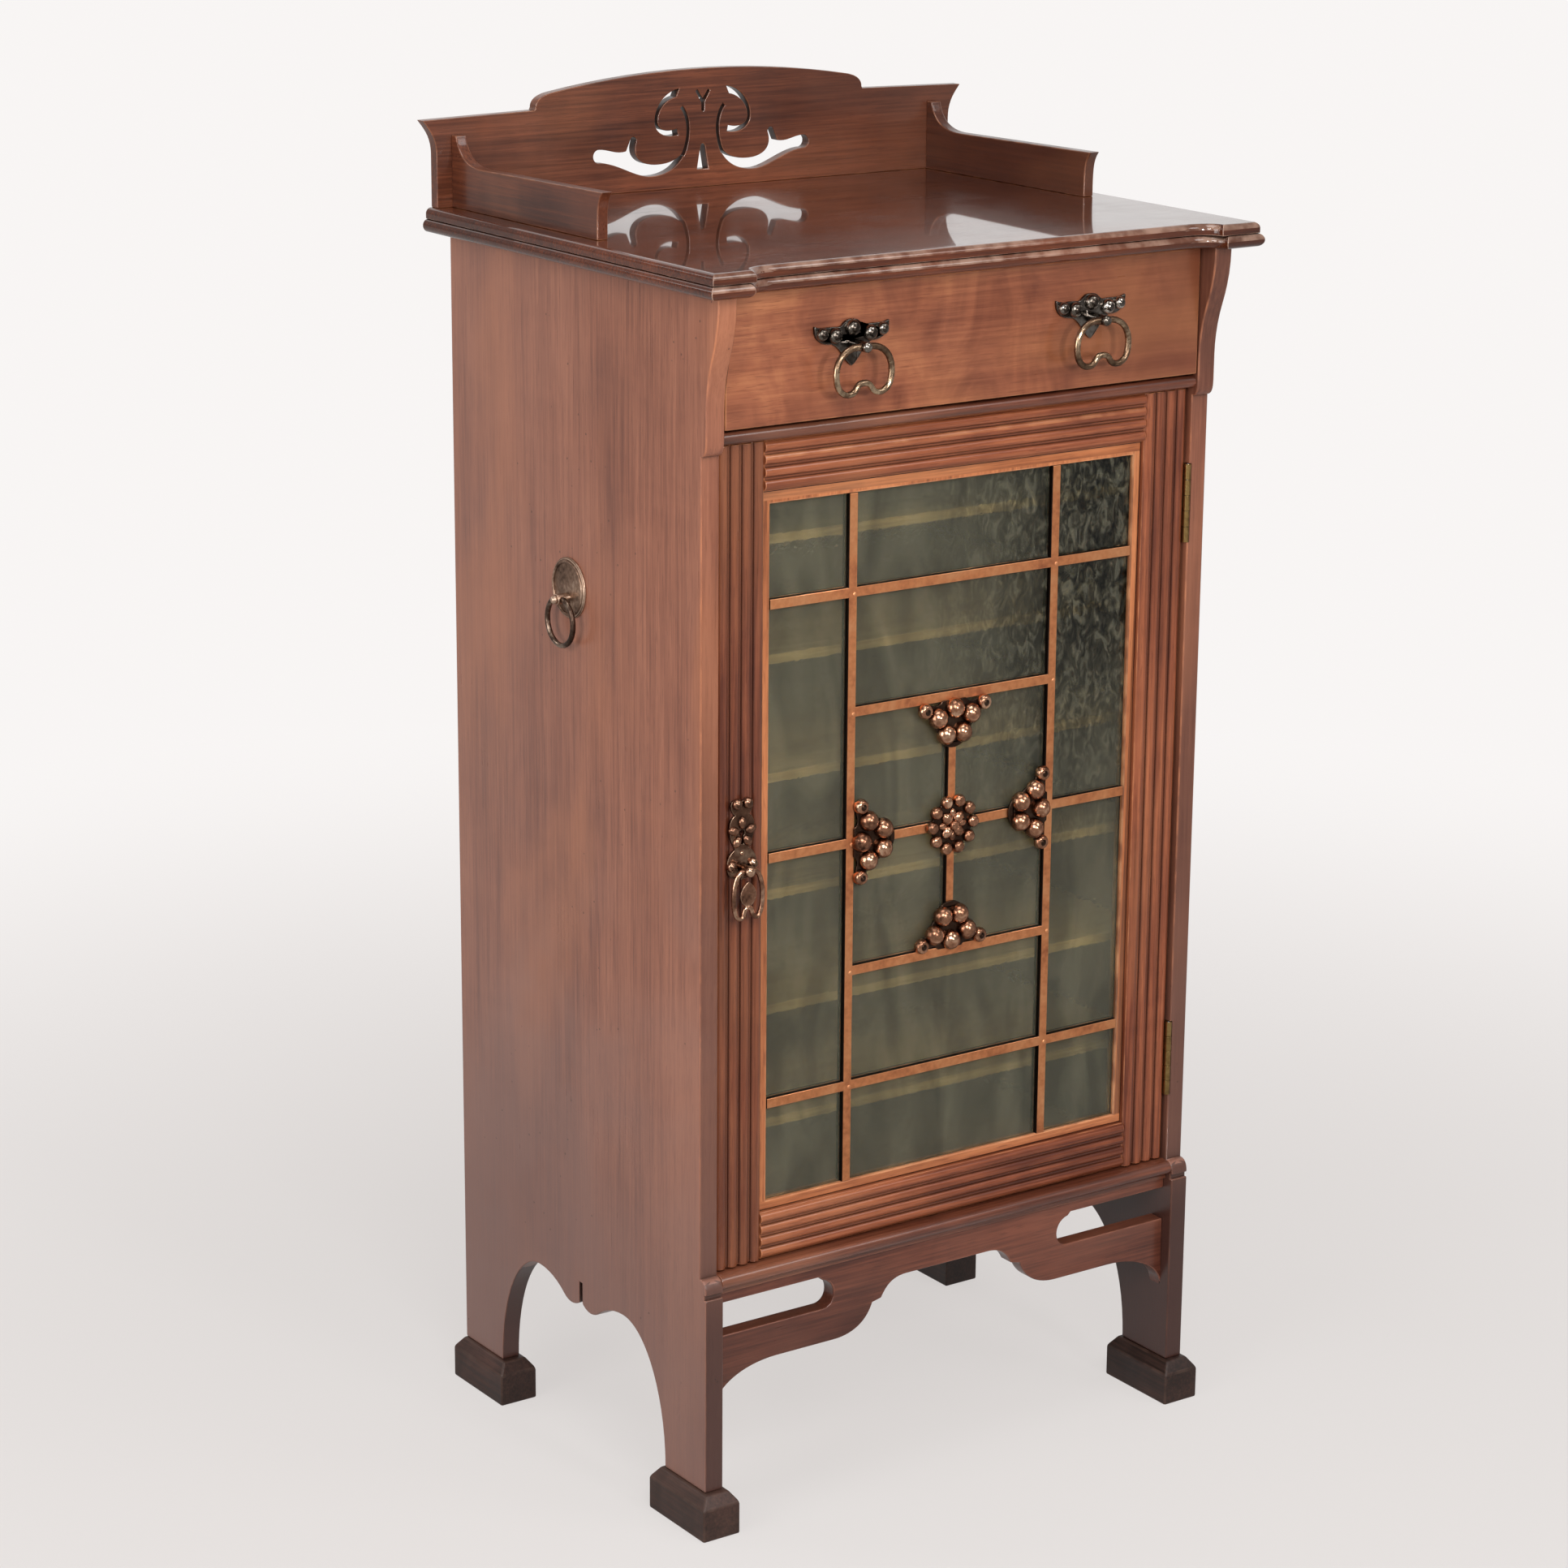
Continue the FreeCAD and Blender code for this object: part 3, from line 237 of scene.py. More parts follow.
class Recipe(Wiring):
    """One material made of patterns."""

    def __init__(self, name: str) -> None:
        """Starts a material with one shader.

        Args:
            name: Name of the finish.
        """
        self.material = bpy.data.materials.new(name)
        self.material.use_nodes = True
        super().__init__(self.material.node_tree)
        self.shader = self.node("ShaderNodeBsdfPrincipled")
        self.surface = self.node("ShaderNodeOutputMaterial", {0: self.shader.outputs[0]}).inputs[0]

    def fixed(self, **values: object) -> None:
        """Sets constants of the shader, named with underscores for spaces."""
        for key, value in values.items():
            self.shader.inputs[key.replace("_", " ")].default_value = value

    def cover(self, colour: Socket, roughness: Socket) -> None:
        """Gives the shader its colour and roughness."""
        self.feed(self.shader.inputs["Base Color"], colour)
        self.feed(self.shader.inputs["Roughness"], roughness)

    def own(self, name: str) -> Socket:
        """A number stored on the mesh."""
        return self.node("ShaderNodeAttribute", attribute_name=name).outputs["Fac"]

    def here(self) -> Socket:
        """Object coordinates."""
        return self.node("ShaderNodeTexCoord").outputs["Object"]

    def spot(self) -> Socket:
        """Object coordinates, moved on by each board's own number."""
        moved = {0: self.own("board"), 1: BOARD_SHIFT, 2: self.here()}
        return self.out("ShaderNodeVectorMath", moved, operation="MULTIPLY_ADD")

    def along(self, axis: int) -> Socket:
        """Object coordinate along one axis, in metres."""
        return self.split(self.here())[axis]

    def noise(self, place: Socket, scale: float, detail: float, stir: float = 0.0) -> Socket:
        """Cloudy pattern from 0 to 1, by its cycles for each metre, its octaves and its stirring."""
        return self.out("ShaderNodeTexNoise", {
            "Vector": place, "Scale": scale, "Detail": detail, "Distortion": stir})

    def drawn(self, place: Socket, scale: Point, detail: float, stir: float = 0.0) -> Socket:
        """Cloudy pattern with its own cycles for each axis."""
        stretched = self.out("ShaderNodeMapping", {"Vector": place, "Scale": scale})
        return self.noise(stretched, 1.0, detail, stir)

    def cells(self, place: Socket, scale: float, feature: str = "F1") -> Socket:
        """Distance to scattered cell centres."""
        return self.out("ShaderNodeTexVoronoi", {"Vector": place, "Scale": scale}, feature=feature)

    def sum(self, *terms: tuple[Socket, float]) -> Socket:
        """Weighted sum of patterns.

        Args:
            terms: Patterns with their weights.

        Returns:
            The sum.
        """
        total: object = 0.0
        for pattern, weight in terms:
            total = self.out("ShaderNodeMath", {0: pattern, 1: weight, 2: total}, operation="MULTIPLY_ADD")
        return total

    def span(self, value: Socket, low: float, high: float, to_low: float = 0.0,
             to_high: float = 1.0) -> Socket:
        """Smooth change from one level to another while a value goes from low to high."""
        levels = {"Value": value, "From Min": low, "From Max": high, "To Min": to_low, "To Max": to_high}
        return self.out("ShaderNodeMapRange", levels, interpolation_type="SMOOTHSTEP")

    def ramp(self, value: Socket, *stops: tuple[float, Colour]) -> Socket:
        """Colour along a scale of stops.

        Args:
            value: Number from 0 to 1.
            stops: Positions with their colours.

        Returns:
            The colour.
        """
        ramp = self.node("ShaderNodeValToRGB", {0: value})
        points = ramp.color_ramp.elements
        while len(points) < len(stops):
            points.new(0.5)
        for point, (position, colour) in zip(points, stops):
            point.position = position
            point.color = (*colour, 1.0)
        return ramp.outputs[0]

    def blend(self, share: Socket, first: object, second: object) -> Socket:
        """A colour with a share of a second one over it."""
        return self.node("ShaderNodeMix", {0: share, 6: first, 7: second}, data_type="RGBA").outputs[2]

    def crevice(self, reach: float) -> Socket:
        """How open a spot is: dark in quirks and corners of its own piece."""
        return self.node("ShaderNodeAmbientOcclusion", {"Distance": reach}, samples=6,
                         only_local=True).outputs["AO"]

    def looked_at(self, *kinds: str) -> Socket:
        """One for some kinds of ray and nought for the rest."""
        seen = self.node("ShaderNodeLightPath").outputs
        return self.sum(*((seen[kind], 1.0) for kind in kinds))

    def glow(self, colour: object) -> Socket:
        """Even light of one colour."""
        return self.out("ShaderNodeEmission", {"Color": colour})

    def relief(self, height: Socket, strength: float, depth: float) -> None:
        """Raises the surface by a share of a pattern that is so many metres high."""
        bump = self.out("ShaderNodeBump", {"Height": height, "Strength": strength, "Distance": depth})
        self.feed(self.shader.inputs["Normal"], bump)


@dataclass(frozen=True)
class WoodFinish:
    """A stained wood with its polish.

    Fields are the colours of the pale, common and dark fibres, of worn edges, which also take painted
    highlights, and of dirt specks and painted shade in creases, then the polish and the amount of each kind of
    age and of painted shade, sheen and highlight.
    """

    name: str
    pale: Colour
    body: Colour
    dark: Colour
    worn: Colour
    # colour of dirt specks and of the painted shade in creases and corners
    dirt_and_shade: Colour = (0.02, 0.009, 0.006)
    roughness: float = 0.34
    sheen: float = 0.4
    lacquer: float = 0.35
    lacquer_roughness: float = 0.14
    patina: float = 0.3
    wear: float = 0.45
    # share of painted shade in creases and corners
    hollow_dirt_and_shade: float = 0.75
    specks: float = 0.0
    # reach of the painted crease shade, in metres
    shade_reach: float = 0.011
    flame: float = 0.1
    fibres: float = 0.32
    blush: float = 0.2
    # share of a painted grey sheen towards the back, which also greys patches low down
    sheen_and_grey: float = 0.0
    sheen_grey: Colour = (0.255, 0.145, 0.12)
    # colour of the darkening towards the bottom
    low_dark: Colour = (0.165, 0.09, 0.076)
    # colour of the painted shade on fronts and other shaded faces
    shaded: Colour = (0.035, 0.011, 0.008)
    # share of painted shade towards the right end
    right_shade: float = 0.0
    legs: bool = False
    grain_depth: float = 0.1

    @cache
    def material(self, grain: Grain) -> Material:
        """Makes the finish for one grain direction, once.

        Args:
            grain: Direction of the fibres.

        Returns:
            The material.
        """
        recipe = Recipe(f"{self.name}_{grain.name.lower()}")
        spot = recipe.spot()
        figure = recipe.drawn(spot, grain.stretch(8.0, 1.2), 4.0, 0.9)
        ribbon = recipe.drawn(spot, grain.stretch(90.0, 2.6), 3.0, 0.3)
        fibre = recipe.drawn(spot, grain.stretch(430.0, 11.0), 2.0)
        flame = recipe.drawn(spot, grain.stretch(11.0, 19.0), 4.0, 1.4)
        pores = recipe.span(recipe.drawn(spot, grain.stretch(1150.0, 60.0), 1.0), 0.57, 0.7)
        tone = recipe.sum((figure, 0.84 - self.flame - self.fibres), (ribbon, 0.16), (fibre, self.fibres),
                          (flame, self.flame))
        colour = recipe.ramp(tone, (0.39, self.dark), (0.5, self.body), (0.62, self.pale))
        warm = recipe.drawn(spot, grain.stretch(8.0, 3.0), 3.0, 0.5)
        fresh = [(recipe.times(pores, 0.45), self.dark)]
        for share, tint in fresh + self.weather(recipe, spot, warm) + self.handling(recipe, spot):
            colour = recipe.blend(share, colour, tint)
        smear = recipe.sum((recipe.noise(spot, 16.0, 3.0), 0.7), (fibre, 0.3))
        recipe.cover(colour, recipe.span(smear, 0.3, 0.7, self.roughness - 0.07, self.roughness + 0.1))
        recipe.relief(recipe.sum((fibre, 0.7), (pores, -0.5), (ribbon, 0.3)), self.grain_depth, 0.0006)
        recipe.fixed(Coat_Weight=self.lacquer, Coat_Roughness=self.lacquer_roughness,
                     Specular_IOR_Level=self.sheen)
        return recipe.material

    def weather(self, recipe: Recipe, spot: Socket, warm: Socket) -> list[tuple[Socket, Colour]]:
        """What years have done, with a painted grey sheen towards the back, greyer patches and darkening
        towards the bottom, and painted shade towards the right end, from the wood outwards.

        Args:
            recipe: Material of the wood.
            spot: Coordinates.
            warm: Pattern of the warm patches.

        Returns:
            Shares with their colours.
        """
        cloud = recipe.noise(spot, 4.2, 3.0, 0.3)
        layers = [(recipe.span(cloud, 0.45, 0.72, 0.0, self.patina), self.dark),
                  (recipe.span(cloud, 0.3, 0.52, 0.3, 0.0), self.pale),
                  (recipe.span(warm, 0.48, 0.7, 0.0, self.blush), self.worn)]
        # a painted grey sheen towards the back, grey patches low down, and darker towards the bottom
        if self.sheen_and_grey:
            cool = recipe.span(recipe.noise(spot, 5.5, 3.0, 0.4), 0.42, 0.66, 0.2, 1.0)
            low = recipe.span(recipe.along(2), 0.4, 0.68, self.sheen_and_grey, 0.0)
            back = recipe.span(recipe.along(1), -0.15, 0.2, 0.0, self.sheen_and_grey)
            layers += [(recipe.sum((back, 1.0), (recipe.times(cool, low), 1.0)), self.sheen_grey),
                       (recipe.span(recipe.along(2), 0.1, 0.45, 0.65, 0.0), self.low_dark)]
        # painted shade towards the right end
        if self.right_shade:
            layers.append((recipe.span(recipe.along(0), 0.0, 0.21, 0.0, self.right_shade), self.dark))
        return layers

    def handling(self, recipe: Recipe, spot: Socket) -> list[tuple[Socket, Colour]]:
        """What painted shade, specks, wear with painted highlights and painted crease shade add, from the wood
        outwards.

        Args:
            recipe: Material of the wood.
            spot: Coordinates.

        Returns:
            Shares with their colours.
        """
        # painted shade on the faces that look the shaded ways
        stain = recipe.own("stain")
        # rubbing pattern over the worn edges and the painted highlights
        wear_and_highlight = recipe.span(recipe.noise(spot, 55.0, 3.0), 0.36, 0.68, 0.15, 1.0)
        # on the legs the painted shade grows towards the floor and on the right bracket, and the wear fades low
        # down
        if self.legs:
            height = recipe.along(2)
            bracket = recipe.times(recipe.span(recipe.along(0), 0.1, 0.2),
                                   recipe.span(height, 0.85, 0.93, 0.0, 0.5))
            stain = recipe.times(stain, recipe.sum((recipe.span(height, 0.5, 0.92, 0.62, 0.05), 1.0),
                                                   (recipe.span(height, 0.17, 0.25, 0.33, 0.0), 1.0),
                                                   (bracket, 1.0)))
            wear_and_highlight = recipe.times(wear_and_highlight, recipe.span(height, 0.2, 0.6, 0.15, 1.0))
        layers = [(stain, self.shaded)]
        if self.specks:
            dots = recipe.span(recipe.cells(spot, 75.0), 0.05, 0.09, 1.0, 0.0)
            where = recipe.span(recipe.noise(spot, 7.0, 1.0), 0.5, 0.62, 0.0, self.specks)
            layers.append((recipe.times(dots, where), self.dirt_and_shade))
        # last come the worn edges with their painted highlights, then the painted shade in creases and corners
        return layers + [(recipe.times(recipe.times(recipe.own("edge"), wear_and_highlight), self.wear), self.worn),
                         (recipe.span(recipe.crevice(self.shade_reach), 0.48, 0.93, self.hollow_dirt_and_shade, 0.0), self.dirt_and_shade)]


@dataclass(frozen=True)
class MetalFinish:
    """An aged metal: its bright, common and tarnished colours, roughness range and hammer marks."""

    name: str
    bright: Colour
    body: Colour
    tarnish: Colour
    # colour of the painted black shade
    shade_black: Colour = (0.02, 0.012, 0.009)
    smooth: float = 0.22
    rough: float = 0.5
    mottle: float = 45.0
    marks: float = 260.0
    mark_depth: float = 0.25
    hollow_dirt_and_shade: float = 0.8

    @cache
    def material(self) -> Material:
        """Makes the finish, once.

        Returns:
            The material.
        """
        recipe = Recipe(self.name)
        spot = recipe.spot()
        fleck = recipe.noise(spot, self.mottle * 7.0, 3.0)
        tone = recipe.sum((recipe.noise(spot, self.mottle, 4.0, 0.6), 0.65), (fleck, 0.35))
        colour = recipe.ramp(tone, (0.3, self.tarnish), (0.5, self.body), (0.72, self.bright))
        # brighter on eased edges and solder; the ring button is brightened all over as a painted highlight
        for share, tint in ((recipe.times(recipe.own("edge"), 0.45), self.bright),
                            (recipe.span(recipe.crevice(0.005), 0.25, 0.9, self.hollow_dirt_and_shade, 0.0), self.tarnish),
                            # painted black shade on the sides of the cames and on the plates behind the balls
                            (recipe.own("side"), self.shade_black)):
            colour = recipe.blend(share, colour, tint)
        recipe.cover(colour, recipe.span(tone, 0.3, 0.7, self.rough, self.smooth))
        dents = recipe.cells(spot, self.marks, "SMOOTH_F1")
        recipe.relief(recipe.sum((dents, 0.6), (fleck, 0.4)), self.mark_depth, 0.0009)
        recipe.fixed(Metallic=1.0)
        return recipe.material


@dataclass(frozen=True)
class GlassFinish:
    """Rolled green glass with ripples, hammered in its upper right corner, where dark creases and pale streaks
    are painted shade and painted highlights.
    """

    name: str = "rolled_glass"
    tint: Colour = (0.6, 0.58, 0.42)
    shade: Colour = (0.2, 0.19, 0.13)
    # darkest painted shade in the hammered creases
    crease_shade: Colour = (0.03, 0.03, 0.02)
    roughness: float = 0.07

    @cache
    def material(self) -> Material:
        """Makes the finish, once.

        Returns:
            The material.
        """
        recipe = Recipe(self.name)
        spot = recipe.spot()
        pale = tuple(min(1.0, c * 1.22) for c in self.tint)
        deep = tuple(c * 0.78 for c in self.tint)
        colour = recipe.ramp(recipe.drawn(spot, (26.0, 26.0, 9.0), 3.0, 0.8), (0.35, deep), (0.65, pale))
        # painted shade and painted highlights of the hammered ripples in the upper right
        corner = recipe.times(recipe.span(recipe.along(0), -0.06, 0.15),
                              recipe.span(recipe.along(2), 0.46, 0.74))
        wrinkle = recipe.drawn(spot, (120.0, 120.0, 62.0), 3.0, 1.6)
        hammered = recipe.ramp(wrinkle, (0.36, self.crease_shade), (0.5, self.shade), (0.64, pale))
        grain = recipe.noise(spot, 210.0, 2.0)
        recipe.cover(recipe.blend(corner, colour, hammered),
                     recipe.span(grain, 0.3, 0.75, self.roughness, self.roughness + 0.1))
        beaten = recipe.times(recipe.times(wrinkle, corner), 2.4)
        swell = recipe.noise(spot, 95.0, 2.0, 0.4)
        recipe.relief(recipe.sum((swell, 0.7), (grain, 0.3), (beaten, 1.0)), 0.4, 0.0014)
        recipe.fixed(Transmission_Weight=0.92, IOR=1.32)
        return recipe.material


MAHOGANY = WoodFinish(
    "mahogany", (0.36, 0.138, 0.078), (0.262, 0.093, 0.052), (0.15, 0.047, 0.026), (0.52, 0.19, 0.085),
    lacquer=0.3, lacquer_roughness=0.3, patina=0.24, specks=0.6, sheen_and_grey=0.32, blush=0.36, legs=True)
# darker than the sides' mahogany: partly its own colour, partly painted shade low on the front
APRON_WOOD = WoodFinish(
    "apron_wood", (0.18, 0.052, 0.027), (0.092, 0.024, 0.013), (0.036, 0.009, 0.005), (0.3, 0.12, 0.075),
    lacquer=0.35, patina=0.4)
GALLERY_WOOD = WoodFinish(
    "gallery_wood", (0.2, 0.055, 0.023), (0.11, 0.029, 0.012), (0.045, 0.011, 0.005), (0.36, 0.14, 0.065),
    lacquer=0.4, patina=0.4, right_shade=0.5)
DRAWER_WOOD = WoodFinish(
    "drawer_wood", (0.42, 0.155, 0.066), (0.27, 0.085, 0.038), (0.13, 0.033, 0.014), (0.54, 0.22, 0.085),
    lacquer=0.25, patina=0.45, flame=0.36, fibres=0.16, blush=0.5, right_shade=0.5)
DOOR_WOOD = WoodFinish(
    "door_wood", (0.38, 0.12, 0.05), (0.23, 0.062, 0.026), (0.095, 0.022, 0.01), (0.56, 0.23, 0.1),
    (0.032, 0.008, 0.004), sheen=0.16, lacquer=0.6, lacquer_roughness=0.14, hollow_dirt_and_shade=0.98, shade_reach=0.0055)
# its pale worn colour and strong wear also paint the highlight along the moulding's eased edges
TABLE_POLISH = WoodFinish(
    "table_polish", (0.155, 0.036, 0.011), (0.082, 0.017, 0.0045), (0.03, 0.006, 0.0018), (0.55, 0.36, 0.27),
    roughness=0.2, sheen=0.1, lacquer=1.0, lacquer_roughness=0.03, hollow_dirt_and_shade=0.9, shade_reach=0.006, blush=0.0,
    wear=0.7, right_shade=0.6)
MOULDING = WoodFinish(
    "moulding", (0.2, 0.06, 0.03), (0.11, 0.03, 0.015), (0.042, 0.011, 0.006), (0.44, 0.19, 0.1),
    lacquer=0.6, hollow_dirt_and_shade=0.97, shade_reach=0.006)
FOOT_STAIN = WoodFinish(
    "foot_stain", (0.07, 0.03, 0.021), (0.036, 0.0155, 0.011), (0.013, 0.005, 0.003), (0.09, 0.05, 0.036),
    roughness=0.5, lacquer=0.0, patina=0.4, flame=0.3)
BEAD_STRIP = WoodFinish(
    "bead_strip", (0.56, 0.2, 0.075), (0.4, 0.125, 0.042), (0.11, 0.026, 0.009), (0.7, 0.33, 0.15),
    lacquer=0.3, shade_reach=0.004)
CASE_WOOD = WoodFinish(
    "case_wood", (0.38, 0.205, 0.105), (0.275, 0.138, 0.066), (0.145, 0.066, 0.029), (0.42, 0.28, 0.16),
    roughness=0.62, lacquer=0.0, hollow_dirt_and_shade=0.4)
SHELF_WOOD = WoodFinish(
    "shelf_wood", (0.72, 0.52, 0.3), (0.58, 0.39, 0.2), (0.36, 0.22, 0.1), (0.76, 0.56, 0.34),
    roughness=0.6, lacquer=0.0, hollow_dirt_and_shade=0.4)
COPPER = MetalFinish("cast_copper", (0.98, 0.67, 0.46), (0.43, 0.205, 0.12), (0.045, 0.019, 0.012),
                     smooth=0.14, rough=0.32)
OLD_COPPER = MetalFinish("old_copper", (0.95, 0.66, 0.46), (0.32, 0.16, 0.1), (0.035, 0.016, 0.011),
                         smooth=0.14, rough=0.34)
CAME_COPPER = MetalFinish("came_copper", (0.9, 0.43, 0.21), (0.68, 0.27, 0.115), (0.36, 0.125, 0.06),
                          smooth=0.36, rough=0.56, mottle=26.0, marks=190.0, mark_depth=0.12)
PEWTER = MetalFinish("pewter_bronze", (0.95, 0.88, 0.8), (0.22, 0.19, 0.16), (0.03, 0.023, 0.018),
                     smooth=0.13, rough=0.32)
BAIL_BRONZE = MetalFinish("bail_bronze", (0.8, 0.6, 0.4), (0.21, 0.13, 0.08), (0.025, 0.014, 0.009),
                          smooth=0.18, rough=0.4)
SIDE_BRONZE = MetalFinish("side_bronze", (0.72, 0.52, 0.39), (0.29, 0.18, 0.125), (0.06, 0.033, 0.022),
                          smooth=0.34, rough=0.55, marks=160.0, mark_depth=0.45)
RING_BRONZE = MetalFinish("ring_bronze", (0.5, 0.37, 0.28), (0.1, 0.062, 0.045), (0.02, 0.012, 0.009),
                          smooth=0.26, rough=0.5, marks=160.0, mark_depth=0.3)
BRASS = MetalFinish("aged_brass", (0.5, 0.33, 0.13), (0.27, 0.165, 0.06), (0.08, 0.045, 0.02),
                    mark_depth=0.08)
STEEL = MetalFinish("filed_steel", (0.52, 0.5, 0.48), (0.3, 0.29, 0.28), (0.1, 0.085, 0.075),
                    mark_depth=0.06)
GLASS = GlassFinish()


class Pattern(Wiring):
    """One Geometry Nodes tree whose result becomes a plain mesh."""

    def __init__(self, name: str) -> None:
        """Starts an empty tree.

        Args:
            name: What the tree makes.
        """
        self.name = name
        super().__init__(bpy.data.node_groups.new(name, "GeometryNodeTree"))
        self.tree.interface.new_socket("Geometry", in_out="OUTPUT", socket_type="NodeSocketGeometry")
        self.entry, self.exit = self.node("NodeGroupInput"), self.node("NodeGroupOutput")
        self.named: dict[str, str] = {}

    def given(self, name: str, kind: str = "Float") -> Socket:
        """Adds a named input.

        Args:
            name: Its name.
            kind: Its kind of socket.

        Returns:
            The socket inside the tree.
        """
        made = self.tree.interface.new_socket(name, in_out="INPUT", socket_type=f"NodeSocket{kind}")
        self.named[name] = made.identifier
        return next(socket for socket in self.entry.outputs if socket.identifier == made.identifier)

    def stored(self, name: str, kind: str = "FLOAT") -> Socket:
        """A number or place stored on the points."""
        return self.out("GeometryNodeInputNamedAttribute", {"Name": name}, data_type=kind)

    def lone(self, axis: int, value: object) -> Socket:
        """Place with a number along one axis and noughts along the others."""
        return self.out("ShaderNodeCombineXYZ", {axis: value})

    def real(self, shape: Socket) -> Socket:
        """Repeated shapes made into one mesh."""
        return self.out("GeometryNodeRealizeInstances", {"Geometry": shape})

    def close(self, shape: Socket) -> None:
        """Ends the tree in one mesh with its finish."""
        dressed = {"Geometry": self.real(shape), "Material": self.given("Finish", "Material")}
        self.feed(self.exit.inputs[0], self.out("GeometryNodeSetMaterial", dressed))

    def made(self, values: dict[str, object], source: Mesh | None = None) -> Mesh:
        """Runs the tree once.

        Args:
            values: Values of the named inputs.
            source: Mesh that goes into the tree.

        Returns:
            The result as a plain mesh.
        """
        carrier = linked(self.name, source or bpy.data.meshes.new(self.name))
        modifier = carrier.modifiers.new(self.name, "NODES")
        modifier.node_group = self.tree
        for name, value in values.items():
            modifier[self.named[name]] = value
        graph = bpy.context.evaluated_depsgraph_get()
        mesh = bpy.data.meshes.new_from_object(carrier.evaluated_get(graph))
        carrier.modifiers.clear()
        bpy.data.objects.remove(carrier)
        return mesh


@dataclass(frozen=True)
class Berry:
    """A cast ball, in millimetres from the middle of its fitting.

    Its dimple and its height are shares of the radius.
    """

    across: float
    forward: float
    rise: float
    radius: float
    dimple: float = 0.0
    height: float = 1.0


@dataclass(frozen=True)
class Bloom:
    """A ring of petals in millimetres: their number, how far out they sit and the first one's angle.

    Their half sizes are given outward, forward and across.
    """

    count: int
    reach: float
    size: Point
    turn: float = 0.0


class Caster:
    """Casts the repeated small forms of the fittings."""

    def __init__(self) -> None:
        """Lays the trees for balls, petals, screws, rims and rolled glass."""
        self.balls, self.petal_ring, self.screw_row, self.rims, self.sheet = (
            Pattern(name) for name in ("balls", "petals", "screws", "rim", "rolled_sheet"))
        for lay in (self._lay_balls, self._lay_petals, self._lay_screws, self._lay_rims, self._lay_sheet):
            lay()

    def _lay_balls(self) -> None:
        """Lays the tree that sets a ball with a flat back on every point."""
        tree = self.balls
        points, back = tree.given("Geometry", "Geometry"), tree.given("Back")
        ball = tree.out("GeometryNodeMeshUVSphere", {"Segments": 24, "Rings": 16, "Radius": 1.0})
        size = tree.stored("radius")
        balls = tree.real(tree.out("GeometryNodeInstanceOnPoints", {
            "Points": points, "Instance": ball, "Scale": size}))
        away = tree.out("ShaderNodeVectorMath", {
            0: tree.out("GeometryNodeInputPosition"), 1: tree.stored("middle", "FLOAT_VECTOR")},
            operation="SUBTRACT")
        front = tree.math("DIVIDE", tree.times(tree.split(away)[1], -1.0), size)
        dent = tree.out("ShaderNodeMapRange", {"Value": front, "From Min": 0.72, "From Max": 1.0},
                        interpolation_type="SMOOTHSTEP")
        sunk = tree.math("SUBTRACT", tree.math("MAXIMUM", front, tree.times(back, -1.0)),
                         tree.times(dent, tree.stored("dimple")))
        shift = tree.times(tree.math("SUBTRACT", front, tree.times(sunk, tree.stored("height"))), size)
        tree.close(tree.out("GeometryNodeSetPosition", {"Geometry": balls, "Offset": tree.lone(1, shift)}))

    def _lay_petals(self) -> None:
        """Lays the tree that sets long petals in a ring that faces the front."""
        tree = self.petal_ring
        count, reach = tree.given("Count", "Int"), tree.given("Reach")
        size, turn = tree.given("Size", "Vector"), tree.given("Turn")
        ring = tree.out("GeometryNodeMeshCircle", {"Vertices": count, "Radius": reach})
        upright = tree.out("GeometryNodeTransform", {"Geometry": ring, "Rotation": (math.pi / 2, 0.0, 0.0)})
        share = tree.math("DIVIDE", tree.out("GeometryNodeInputIndex"), count)
        petal = tree.out("GeometryNodeMeshUVSphere", {"Segments": 20, "Rings": 12, "Radius": 1.0})
        laid = tree.out("GeometryNodeInstanceOnPoints", {
            "Points": upright, "Instance": petal, "Rotation": tree.lone(1, tree.times(share, -2 * math.pi)),
            "Scale": size})
        tree.close(tree.out("GeometryNodeTransform", {
            "Geometry": tree.real(laid), "Rotation": tree.lone(1, turn)}))

    def _lay_screws(self) -> None:
        """Lays the tree that drives a slotted screw along +X at every point."""
        tree = self.screw_row
        points = tree.given("Geometry", "Geometry")
        head, shank = tree.given("Head"), tree.given("Shank")
        thick, length = tree.given("Thickness"), tree.given("Length")
        cone = tree.out("GeometryNodeMeshCone", {
            "Vertices": 28, "Radius Top": shank, "Radius Bottom": head, "Depth": thick})
        slot = tree.out("GeometryNodeMeshCube", {"Size": tree.out("ShaderNodeCombineXYZ", {
            0: tree.times(head, 2.4), 1: tree.times(head, 0.24), 2: thick})})
        slot = tree.out("GeometryNodeTransform", {"Geometry": slot, "Rotation": (0.0, 0.0, 0.6)})
        cut = tree.out("GeometryNodeMeshBoolean", {0: cone, 1: slot}, operation="DIFFERENCE")
        rod = tree.out("GeometryNodeMeshCylinder", {"Vertices": 16, "Radius": shank, "Depth": length})
        rod = tree.out("GeometryNodeTransform", {
            "Geometry": rod, "Translation": tree.lone(2, tree.times(length, 0.5))})
        both = tree.node("GeometryNodeJoinGeometry")
        for part in (cut, rod):
            tree.feed(both.inputs[0], part)
        laid = tree.out("GeometryNodeTransform", {
            "Geometry": both.outputs[0], "Rotation": (0.0, math.pi / 2, 0.0)})
        tree.close(tree.out("GeometryNodeInstanceOnPoints", {"Points": points, "Instance": laid}))

